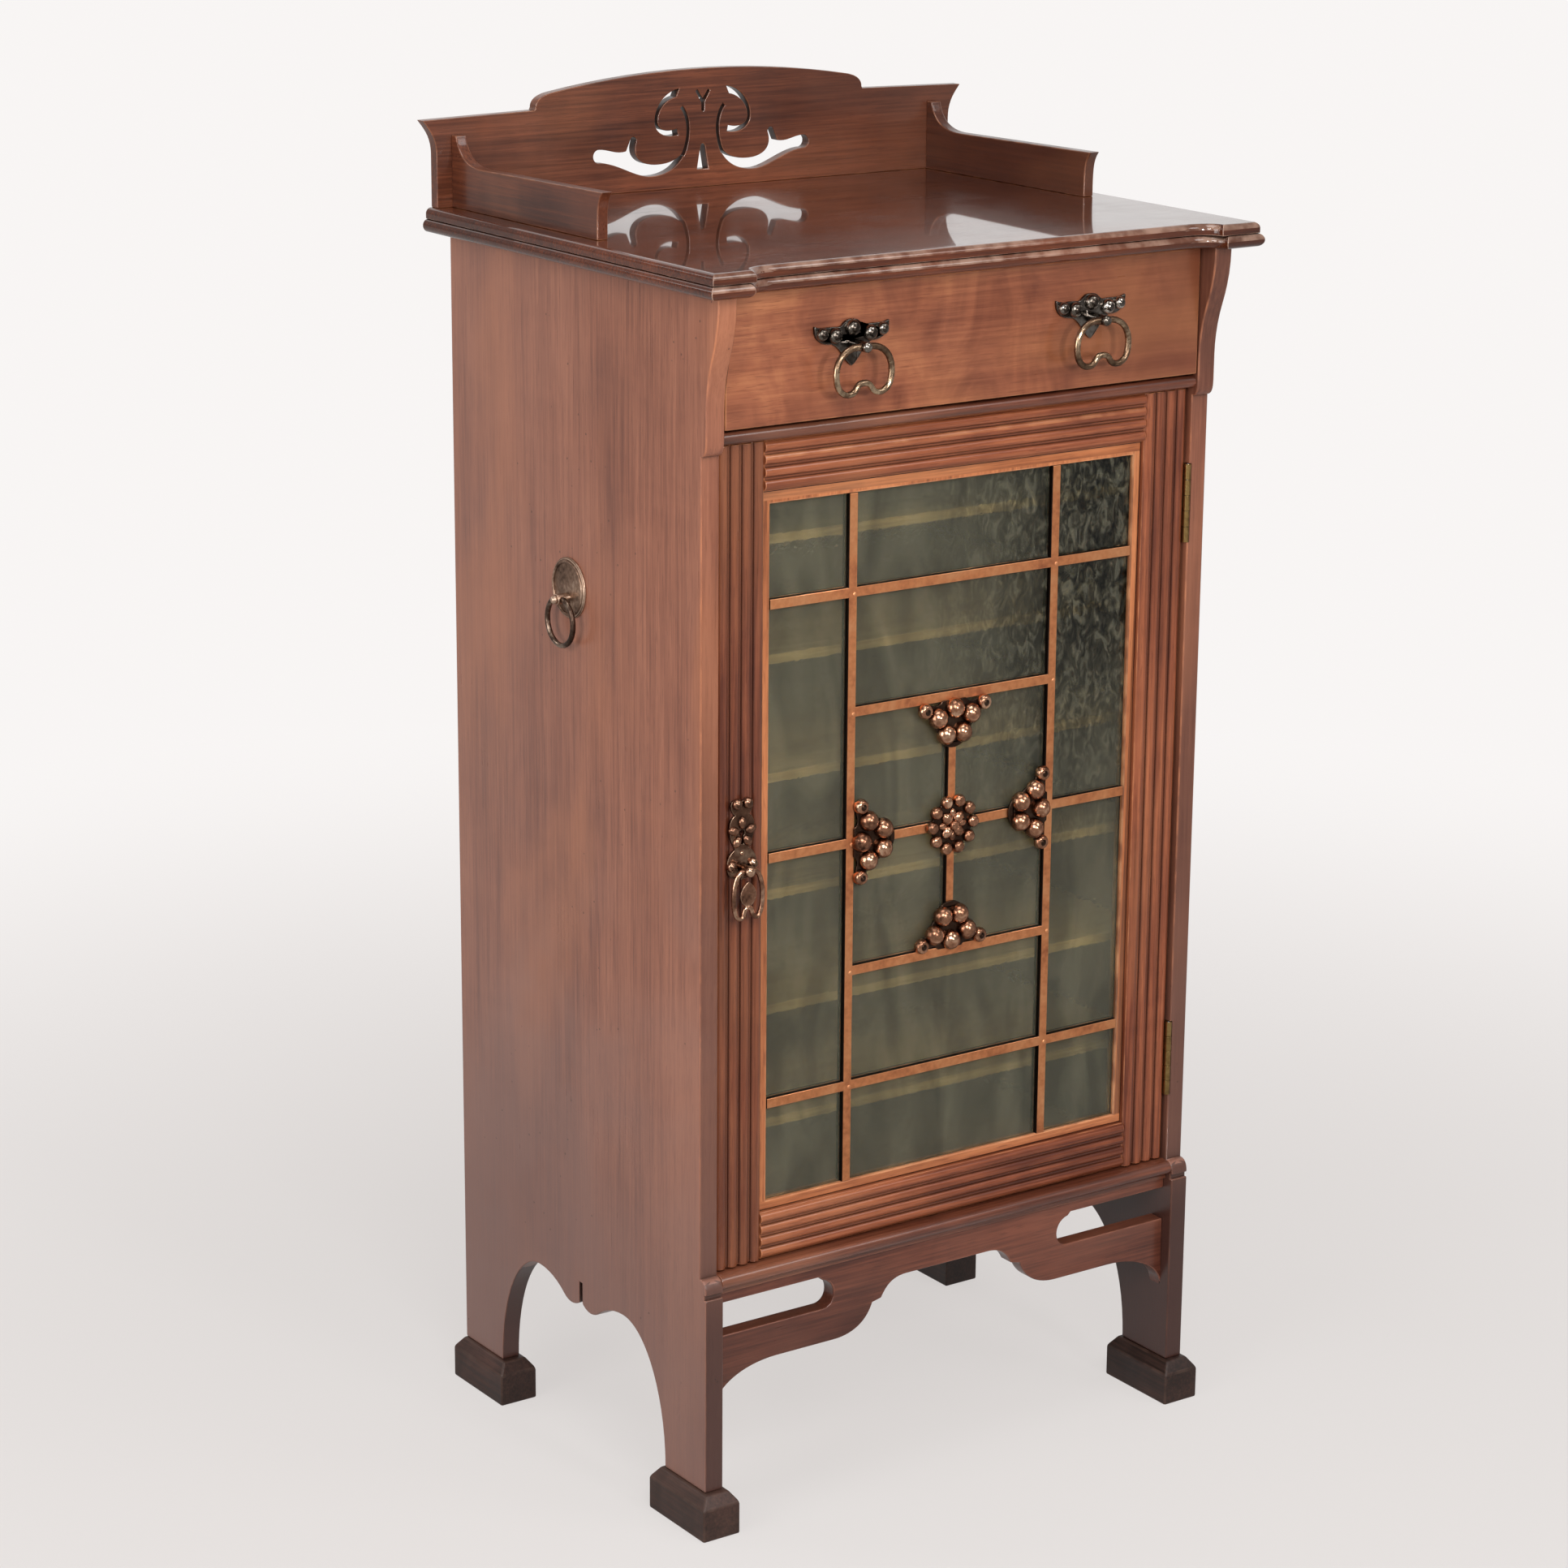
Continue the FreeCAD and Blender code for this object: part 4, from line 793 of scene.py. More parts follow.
    def _lay_rims(self) -> None:
        """Lays the tree that bends a round moulding into a ring."""
        tree = self.rims
        path, section = (
            tree.out("GeometryNodeCurvePrimitiveCircle", {"Resolution": steps, "Radius": tree.given(name)},
                     mode="RADIUS") for name, steps in (("Reach", 72), ("Bead", 14)))
        tree.close(tree.out("GeometryNodeCurveToMesh", {"Curve": path, "Profile Curve": section}))

    def _lay_sheet(self) -> None:
        """Lays the tree that ripples the faces of glass panes, most of all towards the upper right."""
        tree = self.sheet
        panes = tree.given("Geometry", "Geometry")
        depth, scale = tree.given("Depth"), tree.given("Scale")
        here = tree.out("GeometryNodeInputPosition")
        x, _, z = tree.split(here)
        right = tree.out("ShaderNodeMapRange", {"Value": x, "From Min": -0.03, "From Max": 0.12})
        high = tree.out("ShaderNodeMapRange", {"Value": z, "From Min": 0.52, "From Max": 0.72})
        strong = tree.math("ADD", tree.times(tree.times(right, high), 2.6), 0.6)
        wave = tree.out("ShaderNodeTexNoise", {
            "Vector": here, "Scale": scale, "Detail": 2.0, "Distortion": 0.5})
        swell = tree.times(tree.math("SUBTRACT", wave, 0.5), tree.times(strong, depth))
        tree.close(tree.out("GeometryNodeSetPosition", {"Geometry": panes, "Offset": tree.lone(1, swell)}))

    def berries(self, middle: Point, berries: Sequence[Berry], finish: Material, back: float = 0.2) -> Mesh:
        """Balls on the front of a fitting.

        Args:
            middle: Middle of the fitting: its x, depth and height in millimetres.
            berries: The balls.
            finish: Their finish.
            back: How far they reach behind their middles, in shares of the radius.

        Returns:
            One mesh.
        """
        x, depth, z = middle
        places = [at(x + berry.across, depth + berry.forward, z + berry.rise) for berry in berries]
        points = bpy.data.meshes.new("berry_places")
        points.from_pydata(places, [], [])
        for name, unit in (("radius", MM), ("dimple", 1.0), ("height", 1.0)):
            row = points.attributes.new(name, "FLOAT", "POINT")
            row.data.foreach_set("value", [getattr(berry, name) * unit for berry in berries])
        row = points.attributes.new("middle", "FLOAT_VECTOR", "POINT")
        row.data.foreach_set("vector", [value for place in places for value in place])
        return self.balls.made({"Back": back, "Finish": finish}, points)

    def petals(self, middle: Point, bloom: Bloom, finish: Material) -> Mesh:
        """Ring of petals.

        Args:
            middle: Middle of the ring: its x, depth and height in millimetres.
            bloom: The petals.
            finish: Their finish.

        Returns:
            One mesh.
        """
        mesh = self.petal_ring.made({
            "Count": bloom.count, "Reach": bloom.reach * MM, "Size": tuple(s * MM for s in bloom.size),
            "Turn": bloom.turn, "Finish": finish})
        mesh.transform(Matrix.Translation(at(*middle)))
        return mesh


@dataclass(frozen=True)
class Board:
    """A wooden node with its finish, the run of its grain and the easing of its corners in metres.

    Corners in the sharp boxes stay as they are. Faces that look the shaded ways take painted shade by
    its share, and faces between the highlight heights that look forward and up take a painted highlight.
    """

    node: str
    finish: WoodFinish
    grain: Grain
    softness: float = 0.0009
    sharp: tuple[Box, ...] = ()
    # share of painted shade on faces that look the shaded ways
    stain: float = 0.0
    shaded: tuple[Point, ...] = (FORWARD, LEFTWARD)
    # share of painted highlight, carried as wear, on forward and upward faces between the highlight heights
    wear_and_highlight: float = 0.0
    highlight_heights: tuple[float, float] = (0.0, 0.0)

    def shade_share(self, face: Face) -> float:
        """How much painted shade a face takes."""
        return self.stain * any(face.normal.dot(Vector(way)) > FACING for way in self.shaded)

    def highlight_share(self, face: Face) -> float:
        """How much painted highlight a face takes.

        Args:
            face: The face.

        Returns:
            A share of the painted highlight, carried as wear.
        """
        # faces that look forward and up between the heights take the painted highlight
        low, high = self.highlight_heights
        worn = face.normal.y < -HIGHLIGHT_FORWARD and face.normal.z > HIGHLIGHT_UP
        return self.wear_and_highlight * (worn and low < face.center.z < high)


class Bench:
    """Turns meshes into pieces of the cabinet, each on its body."""

    def __init__(self) -> None:
        """Reads which body carries each node and which finish slot it has."""
        record = frame["record"]
        self.body_of = {node: body for body, nodes in record["behaviour"]["bodies"].items() for node in nodes}
        self.slot_of = {part["node"]: part["material_slot"] for part in record["subparts"]}
        self.count = 0

    def copied(self, node: str) -> Draft:
        """Closed copy of a node's mesh with its flat faces whole.

        Args:
            node: Name of the node.

        Returns:
            The copy.
        """
        work = bmesh.new()
        work.from_mesh(frame["nodes"][node].data)
        bmesh.ops.remove_doubles(work, verts=work.verts, dist=MERGE_DISTANCE)
        bmesh.ops.dissolve_limit(work, angle_limit=FLAT_ANGLE, verts=work.verts, edges=work.edges)
        return work

    def softened(self, node: str, softness: float, sharp: Sequence[Box] = ()) -> Mesh:
        """Copy of a node with its outer corners eased, the eased strips marked for wear.

        Args:
            node: Name of the node.
            softness: Width of the easing in metres.
            sharp: Boxes inside which corners stay as they are.

        Returns:
            The mesh.
        """
        work = self.copied(node)
        mark = work.faces.layers.float.new("edge")

        def kept(edge: bmesh.types.BMEdge) -> bool:
            """Whether an edge lies in a box that stays sharp."""
            return any(all(low[k] <= vert.co[k] <= high[k] for vert in edge.verts for k in range(3))
                       for low, high in sharp)

        corners = [edge for edge in work.edges
                   if edge.is_manifold and edge.is_convex and edge.calc_face_angle(0.0) > CORNER_ANGLE
                   and not kept(edge)]
        if softness and corners:
            made = bmesh.ops.bevel(work, geom=corners, offset=softness, offset_type="OFFSET", segments=2,
                                   profile=0.5, affect="EDGES", clamp_overlap=False, loop_slide=True)
            for face in made["faces"]:
                face[mark] = 1.0
        return solid(node, work)

    def place(self, node: str, manner: str, mesh: Mesh, material: Material, even: bool = False) -> None:
        """Puts a mesh into the cabinet in place of a node.

        Args:
            node: Node that it stands for, which gives its body.
            manner: How it was made, the second half of its name.
            mesh: Its mesh, in the part's frame.
            material: Its finish.
            even: Whether flat faces keep their shading next to eased corners.
        """
        self.count += 1
        shift = mesh.attributes.new("board", "FLOAT", "POINT")
        shift.data.foreach_set("value", [BOARD_NUMBER * self.count] * len(mesh.vertices))
        mesh.materials.clear()
        mesh.materials.append(material)
        mesh.shade_smooth()
        mesh.set_sharp_from_angle(angle=SHADING_ANGLE)
        piece = linked(f"{node}_{manner}", mesh)
        if even:
            piece.modifiers.new("even_shading", "WEIGHTED_NORMAL").keep_sharp = True
        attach(piece, self.body_of[node])
        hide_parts(node)
        LOG.info("%s: %d faces on %s", piece.name, len(mesh.polygons), self.body_of[node])

    def boards(self, boards: Iterable[Board]) -> None:
        """Eases and dresses boards one after the other.

        Args:
            boards: The boards.
        """
        for board in boards:
            mesh = self.softened(board.node, board.softness, board.sharp)
            eased = [item.value for item in mesh.attributes["edge"].data]
            marked(mesh, "stain", map(board.shade_share, mesh.polygons))
            marked(mesh, "edge", map(max, eased, map(board.highlight_share, mesh.polygons)))
            self.place(board.node, "polished", mesh, board.finish.material(board.grain), True)

    def metal(self, node: str, manner: str, softness: float, finish: Material, relief: Sequence[Mesh] = (),
              shade_black: float = 0.0, even: bool = False) -> None:
        """Eases a metal node, adds its relief and puts it in place.

        Args:
            node: Name of the node.
            manner: How it was made.
            softness: Width of the easing in metres.
            finish: Its finish.
            relief: Small forms that stand on it.
            shade_black: Share of painted black shade on the plate behind them.
            even: Whether flat faces keep their shading.
        """
        mesh = self.softened(node, softness)
        if shade_black:
            all_over(mesh, "side", shade_black)
        self.place(node, manner, together(node, [mesh, *relief]) if relief else mesh, finish, even)


@dataclass
class Case:
    """Everything wooden that stands still, except the gallery."""

    bench: Bench
    shelves: int = 6
    inside: tuple[Box, ...] = (((-0.2385, -0.166, 0.2), (0.2385, 0.201, 1.012)),)
    hinge_seats: tuple[Box, ...] = (
        ((0.2315, -0.176, 0.279), (0.2375, -0.148, 0.3495)),
        ((0.2315, -0.176, 0.765), (0.2375, -0.148, 0.8355)),
    )

    def build(self) -> None:
        """Dresses the boards of the case."""
        # the side panels take painted shade on their fronts, the right one also on its inner face
        sides = [
            Board("left_side_panel", MAHOGANY, Grain.UP, 0.0012, self.inside, 0.85, (FORWARD,)),
            Board("right_side_panel", MAHOGANY, Grain.UP, 0.0012, self.inside + self.hinge_seats, 0.95),
        ]
        front = [
            # the front moulding of the top takes a painted highlight
            Board("top_board", TABLE_POLISH, Grain.ACROSS, 0.0005, wear_and_highlight=0.6, highlight_heights=(0.9, 1.2)),
            Board("bead_rail", MOULDING, Grain.ACROSS, 0.0005),
            Board("drawer_rail", MOULDING, Grain.ACROSS, 0.0005),
            Board("front_apron", APRON_WOOD, Grain.ACROSS, 0.001),
        ]
        inner = [Board(node, CASE_WOOD, grain, 0.0006) for node, grain in (
            ("back_panel", Grain.UP), ("bottom_board", Grain.ACROSS), ("dust_board", Grain.ACROSS),
            ("drawer_stops", Grain.ACROSS), ("door_stop", Grain.UP))]
        inner += [Board(f"shelf_{i + 1}", SHELF_WOOD, Grain.ACROSS, 0.0006) for i in range(self.shelves)]
        feet = [Board(f"foot_{end}_{side}", FOOT_STAIN, Grain.DEEP, 0.0016)
                for end in ("front", "rear") for side in ("left", "right")]
        self.bench.boards(sides + front + inner + feet)


@dataclass
class Gallery:
    """The pierced back board and the two side boards on the top."""

    bench: Bench

    def build(self) -> None:
        """Dresses the gallery."""
        self.bench.boards([Board("gallery_back", GALLERY_WOOD, Grain.ACROSS, 0.0007),
                           Board("gallery_left", GALLERY_WOOD, Grain.DEEP),
                           Board("gallery_right", GALLERY_WOOD, Grain.DEEP)])


@dataclass
class Drawer:
    """The drawer box."""

    bench: Bench

    def build(self) -> None:
        """Dresses the drawer's boards."""
        self.bench.boards([Board("drawer_front", DRAWER_WOOD, Grain.ACROSS, 0.0012),
                           Board("drawer_left_side", CASE_WOOD, Grain.DEEP, 0.0007),
                           Board("drawer_right_side", CASE_WOOD, Grain.DEEP, 0.0007),
                           Board("drawer_back", CASE_WOOD, Grain.ACROSS, 0.0007),
                           Board("drawer_bottom", CASE_WOOD, Grain.ACROSS, 0.0005)])


@dataclass
class Fitting:
    """A sub-assembly with cast or bent forms."""

    bench: Bench
    caster: Caster


@dataclass
class Light(Fitting):
    """Sizes that the leaded light and its ornaments share, in millimetres."""

    middle_height: float = 559.0
    inner_rise: float = 108.0
    came_x: float = 100.7


@dataclass
class GlazedDoor(Light):
    """The reeded door frame with its leaded light.

    Sizes of the cames are in millimetres, those of the strips, panes and easings in metres. Faces of
    the cames that look less far forward than their slope are painted black as shade, more of them on the left.
    """

    came_half: float = 4.2
    came_front: float = 365.0
    outer_rise: float = 205.7
    came_ease: float = 0.0006
    came_slope: float = 0.5
    came_left_slope: float = 0.97
    solder_radius: float = 1.9
    solder_height: float = 0.3
    # the outer dark line of each strip and, by a share, the strip on the right are painted shade
    dark_strip: float = 0.15
    dark_line: float = 0.002
    strip_width: float = 0.008
    strip_ease: float = 0.0012
    strip_stain: float = 0.55
    facet: float = 0.004
    ripple_depth: float = 0.0008
    ripple_scale: float = 66.0
    lock_seat: tuple[Box, ...] = (((-0.233, -0.171, 0.54), (-0.187, -0.147, 0.625)),)
    hinge_seats: tuple[Box, ...] = (
        ((0.2255, -0.172, 0.279), (0.2325, -0.146, 0.3495)),
        ((0.2255, -0.172, 0.765), (0.2325, -0.146, 0.8355)),
    )

    def build(self) -> None:
        """Dresses the frame, the cames and the glass."""
        self.bench.boards([
            # the left stile takes painted shade on its front and left faces
            Board("door_left_stile", DOOR_WOOD, Grain.UP, 0.0007, self.lock_seat, 0.35),
            Board("door_right_stile", DOOR_WOOD, Grain.UP, 0.0007, self.hinge_seats),
            # one reed of the top rail takes a painted highlight
            Board("door_top_rail", DOOR_WOOD, Grain.ACROSS, 0.0006, wear_and_highlight=1.0, highlight_heights=(0.88, 0.89)),
            Board("door_bottom_rail", DOOR_WOOD, Grain.ACROSS, 0.0006),
        ])
        self.strips()
        self.lattice()
        self.glass()

    def strips(self) -> None:
        """Dresses the glazing strips, with level grain in the level ones, a painted dark line of shade round
        them and painted shade on the right strip.
        """
        work = bmesh.new()
        work.from_mesh(self.bench.softened("glazing_frame", self.strip_ease))
        reach = max(vert.co.x for vert in work.verts) - self.dark_line
        heights = [vert.co.z for vert in work.verts]
        low, high = min(heights), max(heights)
        inner_low, inner_high = low + self.strip_width, high - self.strip_width
        for z in (inner_low, inner_high):
            bmesh.ops.bisect_plane(work, geom=[*work.verts, *work.edges, *work.faces],
                                   plane_co=(0.0, 0.0, z), plane_no=(0.0, 0.0, 1.0))
        strips = solid("glazing_frame", work)
        # painted shade: the outer line of every strip in full, the right strip by its share
        outer = [abs(face.center.x) > reach or not low + self.dark_line < face.center.z < high - self.dark_line
                 for face in strips.polygons]
        marked(strips, "stain", [float(out) or self.strip_stain * (face.center.x > self.dark_strip)
                                 for out, face in zip(outer, strips.polygons)])
        marked(strips, "edge", [float(not out and abs(face.normal.y) < 0.99)
                                for out, face in zip(outer, strips.polygons)])
        self.bench.place("glazing_frame", "polished", strips, BEAD_STRIP.material(Grain.UP), True)
        strips.materials.append(BEAD_STRIP.material(Grain.ACROSS))
        for face in strips.polygons:
            face.material_index = int(not inner_low < face.center.z < inner_high)

    def lattice(self) -> None:
        """Eases the cames, paints black shade on their sides and solders their joints."""
        finish = CAME_COPPER.material()
        bars = self.bench.softened("came_lattice", self.came_ease)
        # painted black shade on the cames' sides, wider on the left
        slopes = [self.came_left_slope if face.normal.x < -0.2 else self.came_slope for face in bars.polygons]
        marked(bars, "side", [float(abs(face.normal.y) < slope)
                              for face, slope in zip(bars.polygons, slopes)])
        joints = [Berry(x + self.came_half * 0.5, 0.0, rise - self.came_half * 0.4, self.solder_radius,
                        height=self.solder_height)
                  for x in (-self.came_x, self.came_x)
                  for rise in (-self.outer_rise, -self.inner_rise, 0.0, self.inner_rise, self.outer_rise)]
        solder = self.caster.berries((0.0, self.came_front, self.middle_height), joints, finish)
        bars = together("came_lattice", [bars, all_over(solder, "edge", 1.0)])
        self.bench.place("came_lattice", "drawn", bars, finish, True)

    def glass(self) -> None:
        """Cuts the panes into small facets and ripples their faces."""
        work = self.bench.copied("glass_panes")
        sheet = bmesh.new()
        depths = [vert.co.y for vert in work.verts]
        for face in work.faces:
            if face.normal.y < -FACING:
                x, _, z = zip(*(vert.co for vert in face.verts))
                self.pane(sheet, Vector((min(x), min(depths), min(z))), Vector((max(x), max(depths), max(z))))
        work.free()
        bmesh.ops.remove_doubles(sheet, verts=sheet.verts, dist=1e-6)
        bmesh.ops.recalc_face_normals(sheet, faces=sheet.faces)
        finish = GLASS.material()
        sizes = {"Depth": self.ripple_depth, "Scale": self.ripple_scale, "Finish": finish}
        rolled = self.caster.sheet.made(sizes, solid("flat_panes", sheet))
        self.bench.place("glass_panes", "rolled", rolled, finish)

    def pane(self, sheet: Draft, low: Vector, high: Vector) -> None:
        """Adds one pane as a closed block of small facets.

        Args:
            sheet: Mesh that takes the pane.
            low: Lower corner of the pane.
            high: Upper corner of the pane.
        """
        size = high - low
        columns, rows = (max(2, round(length / self.facet)) for length in (size.x, size.z))
        rims = []
        for y in (low.y, high.y):
            net = [[sheet.verts.new((low.x + size.x * i / columns, y, low.z + size.z * j / rows))
                    for j in range(rows + 1)] for i in range(columns + 1)]
            skinned(sheet, net)
            rims.append([row[0] for row in net] + net[-1][1:] + [row[-1] for row in net[-2::-1]]
                        + net[0][-2::-1])
        skinned(sheet, rims)


@dataclass
class Ornaments(Light):
    """Berry clusters and the rosette of the leaded light, in millimetres but for the easing."""

    front: float = 367.0
    cluster: tuple[Berry, ...] = (
        Berry(0.0, 0.0, -10.0, 8.5), Berry(16.5, 0.0, -16.5, 8.5), Berry(8.3, 0.0, -31.0, 8.5),
        Berry(29.5, 0.0, -9.0, 6.4, 0.3),
    )
    flower: tuple[Bloom, ...] = (
        Bloom(4, 7.8, (6.2, 4.2, 4.8), math.pi / 4), Bloom(4, 9.5, (4.6, 2.4, 3.0)),
    )
    boss: Berry = Berry(0.0, 2.5, 0.0, 4.2, 0.3)
    rosette_radius: float = 20.5
    rosette_berry: float = 5.4
    rosette_dimple: float = 0.12
    rosette_count: int = 10
    scallop: float = 1.2
    scallop_steps: int = 10
    plate_margin: float = 0.8
    plate_rings: tuple[tuple[float, float], ...] = ((-2.0, 0.0), (-0.6, 0.0), (0.0, 0.7))
    # share of painted black shade on the plates behind the balls
    plate_shade: float = 0.92
    plate_ease: float = 0.0004

    def build(self) -> None:
        """Casts the four clusters and the rosette."""
        self.clusters()
        self.rosette()

    def clusters(self) -> None:
        """Sets balls and end curls on the four leaf plates."""
        mirrored = [replace(berry, across=-berry.across) for berry in self.cluster if berry.across]
        inset = self.came_x - self.inner_rise
        berries = []
        for turn, shift in enumerate((0.0, inset, 0.0, -inset)):
            angle = turn * math.pi / 2
            for berry in (*self.cluster, *mirrored):
                x, z = berry.across, self.inner_rise + berry.rise
                berries.append(replace(berry, across=x * math.cos(angle) + z * math.sin(angle) + shift,
                                       rise=z * math.cos(angle) - x * math.sin(angle)))
        finish = COPPER.material()
        relief = self.caster.berries((0.0, self.front, self.middle_height), berries, finish)
        self.bench.metal("came_clusters", "cast", self.plate_ease, finish, [relief], self.plate_shade)

    def rosette(self) -> None:
        """Sets a ring of balls and a four-petalled flower on a scalloped plate."""
        finish = COPPER.material()
        middle = (0.0, self.front, self.middle_height)
        berries = [self.boss]
        for i in range(self.rosette_count):
            angle = 2 * math.pi * (i + 0.5) / self.rosette_count
            berries.append(Berry(self.rosette_radius * math.sin(angle), 0.0,
                                 self.rosette_radius * math.cos(angle), self.rosette_berry,
                                 self.rosette_dimple))
        flower = [self.caster.petals(middle, bloom, finish) for bloom in self.flower]
        # the plate behind the balls takes painted black shade
        plate = all_over(self.plate(), "side", self.plate_shade)
        mesh = together("centre_rosette", [plate, self.caster.berries(middle, berries, finish), *flower])
        self.bench.place("centre_rosette", "cast", mesh, finish)

    def plate(self) -> Mesh:
        """Scalloped round plate behind the rosette.

        Returns:
            The mesh.
        """
        work = bmesh.new()
        steps = self.rosette_count * self.scallop_steps
        rings = []
        for depth, inset in self.plate_rings:
            rings.append([])
            for i in range(steps):
                angle = 2 * math.pi * i / steps
                swell = math.cos(self.rosette_count * (angle - math.pi / self.rosette_count))
                reach = self.rosette_radius + self.plate_margin + self.scallop * swell - inset
                rings[-1].append(work.verts.new(at(reach * math.sin(angle), self.front + depth,
                                                   self.middle_height + reach * math.cos(angle))))
        skinned(work, [ring + ring[:1] for ring in rings])
        work.faces.new(rings[0])
        work.faces.new(rings[-1])
        bmesh.ops.recalc_face_normals(work, faces=work.faces)
        return solid("rosette_plate", work)


@dataclass
class DoorLock(Fitting):
    """Lock plate with its drop pull, lock case and bolt, in millimetres but for the easing."""

    keyhole: Point = (-209.75, 372.4, 587.0)
    berries: tuple[Berry, ...] = (
        Berry(-5.0, 0.0, 24.0, 4.6, 0.15), Berry(5.0, 0.0, 24.0, 4.6, 0.15),
        Berry(-10.0, 0.0, -26.0, 4.4, 0.3), Berry(10.0, 0.0, -26.0, 4.4, 0.3),
        Berry(0.0, 0.0, -16.5, 1.9, height=0.6), Berry(0.0, 12.4, -29.0, 4.1, height=0.6),
    )
    bloom: Bloom = Bloom(5, 8.4, (5.2, 3.0, 3.6), -math.pi / 2)
    # share of painted black shade on the plate behind the balls
    plate_shade: float = 0.55
    plate_ease: float = 0.0004
    ease: float = 0.0003

    def build(self) -> None:
        """Casts the lock plate and dresses the moving pieces."""
        finish = OLD_COPPER.material()
        relief = [self.caster.berries(self.keyhole, self.berries, finish),
                  self.caster.petals(self.keyhole, self.bloom, finish)]
        self.bench.metal("lock_escutcheon", "cast", self.plate_ease, finish, relief, self.plate_shade)
        self.bench.metal("door_pull", "cast", self.ease, finish)
        for node in ("lock_case", "lock_bolt"):
            self.bench.metal(node, "filed", self.ease, STEEL.material(), even=True)


@dataclass
class DrawerHandles(Fitting):
    """The two drawer plates and their heart bails, in millimetres but for the easing."""

    handle_x: float = 117.0
    height: float = 966.0
    front: float = 383.0
    berries: tuple[Berry, ...] = (
        Berry(0.0, 0.0, 12.5, 6.4, 0.1), Berry(16.5, 0.0, 7.5, 6.2, 0.1), Berry(-16.5, 0.0, 7.5, 6.2, 0.1),
        Berry(28.5, 0.0, 9.5, 5.2, 0.1), Berry(-28.5, 0.0, 9.5, 5.2, 0.1),
        Berry(0.0, 20.4, 0.0, 4.2, height=0.7),
    )
    # share of painted black shade on the plates behind the balls
    plate_shade: float = 0.75
    plate_ease: float = 0.0005

    def build(self) -> None:
        """Casts both plates and dresses the bails."""
        finish = PEWTER.material()
        for name, x in (("left", -self.handle_x), ("right", self.handle_x)):
            relief = self.caster.berries((x, self.front, self.height), self.berries, finish)
            self.bench.metal(f"{name}_drawer_plate", "cast", self.plate_ease, finish, [relief], self.plate_shade)
            self.bench.metal(f"{name}_drawer_bail", "bent", 0.0, BAIL_BRONZE.material())


@dataclass
class SideRings(Fitting):
    """Round plates and drop rings on the two sides, in millimetres but for the easing."""

    depth: float = 184.0
    height: float = 752.0
    face: float = 252.5
    rim_reach: float = 21.6
    rim_bead: float = 1.2
    button: Berry = Berry(0.0, 0.0, 0.0, 3.6)
    button_x: float = 264.5
    button_height: float = 744.0
    plate_ease: float = 0.0004

    def build(self) -> None:
        """Turns the plates with a raised rim and dresses the rings."""
        finish = SIDE_BRONZE.material()
        sizes = {"Reach": self.rim_reach * MM, "Bead": self.rim_bead * MM, "Finish": finish}
        turn = Matrix.Rotation(math.pi / 2, 4, "Y")
        for name, side in (("left", -1), ("right", 1)):
            rim = self.caster.rims.made(sizes)
            rim.transform(Matrix.Translation(at(side * self.face, self.depth, self.height)) @ turn)
            middle = (side * self.button_x, self.depth, self.button_height)
            # the button is brightened all over as a painted highlight
            button = all_over(self.caster.berries(middle, [self.button], finish, 1.0), "edge", 1.0)
            self.bench.metal(f"{name}_ring_plate", "turned", self.plate_ease, finish, [rim, button])
            self.bench.metal(f"{name}_side_ring", "bent", 0.0, RING_BRONZE.material())


@dataclass
class Hinges(Fitting):
    """The two butt hinges with their pins and screws, in millimetres but for the easing."""

    lows: tuple[float, float] = (767.0, 281.0)
    length: float = 66.0
    screws: int = 3
    screw_depth: float = 360.0
    screw_head: float = 2.6
    screw_shank: float = 1.3
    screw_length: float = 9.0
    leaf_thickness: float = 1.2
    case_face: float = 233.0
    door_face: float = 231.5
    ease: float = 0.0002

    def build(self) -> None:
        """Dresses the leaves and drives the screws."""
        finish = BRASS.material()
        for place in ("upper", "lower"):
            for side in ("case", "door"):
                self.bench.metal(f"{place}_hinge_{side}_leaf", "filed", self.ease, finish, even=True)
        self.bench.metal("hinge_pins", "drawn", self.ease, STEEL.material())
        sizes = {"Head": self.screw_head * MM, "Shank": self.screw_shank * MM,
                 "Thickness": self.leaf_thickness * MM, "Length": self.screw_length * MM, "Finish": finish}
        for side, x, into in (("case", self.case_face, 1), ("door", self.door_face, -1)):
            places = [at(into * x, self.screw_depth, low + self.length * (i + 0.5) / self.screws)
                      for low in self.lows for i in range(self.screws)]
            points = bpy.data.meshes.new(f"{side}_screw_places")
            points.from_pydata(places, [], [])
            mesh = self.caster.screw_row.made(sizes, points)
            mesh.transform(Matrix.Scale(into, 4, (1.0, 0.0, 0.0)))
            if into < 0:
                mesh.flip_normals()
            self.bench.place(f"hinge_{side}_screws", "slotted", mesh, finish)


@dataclass(frozen=True)
class Lamp:
    """A square soft lamp: its middle and width in metres, its power in watts."""

    name: str
    place: Point
    width: float
    power: float

    def hang(self) -> None:
        """Hangs the lamp so that it faces the cabinet."""
        light = bpy.data.lights.new(self.name, "AREA")
        light.shape = "SQUARE"
        light.size = self.width
        light.energy = self.power
        lamp = linked(self.name, light)
        lamp.location = self.place
        lamp.rotation_euler = (LIT_SPOT - Vector(self.place)).to_track_quat("-Z", "Y").to_euler()


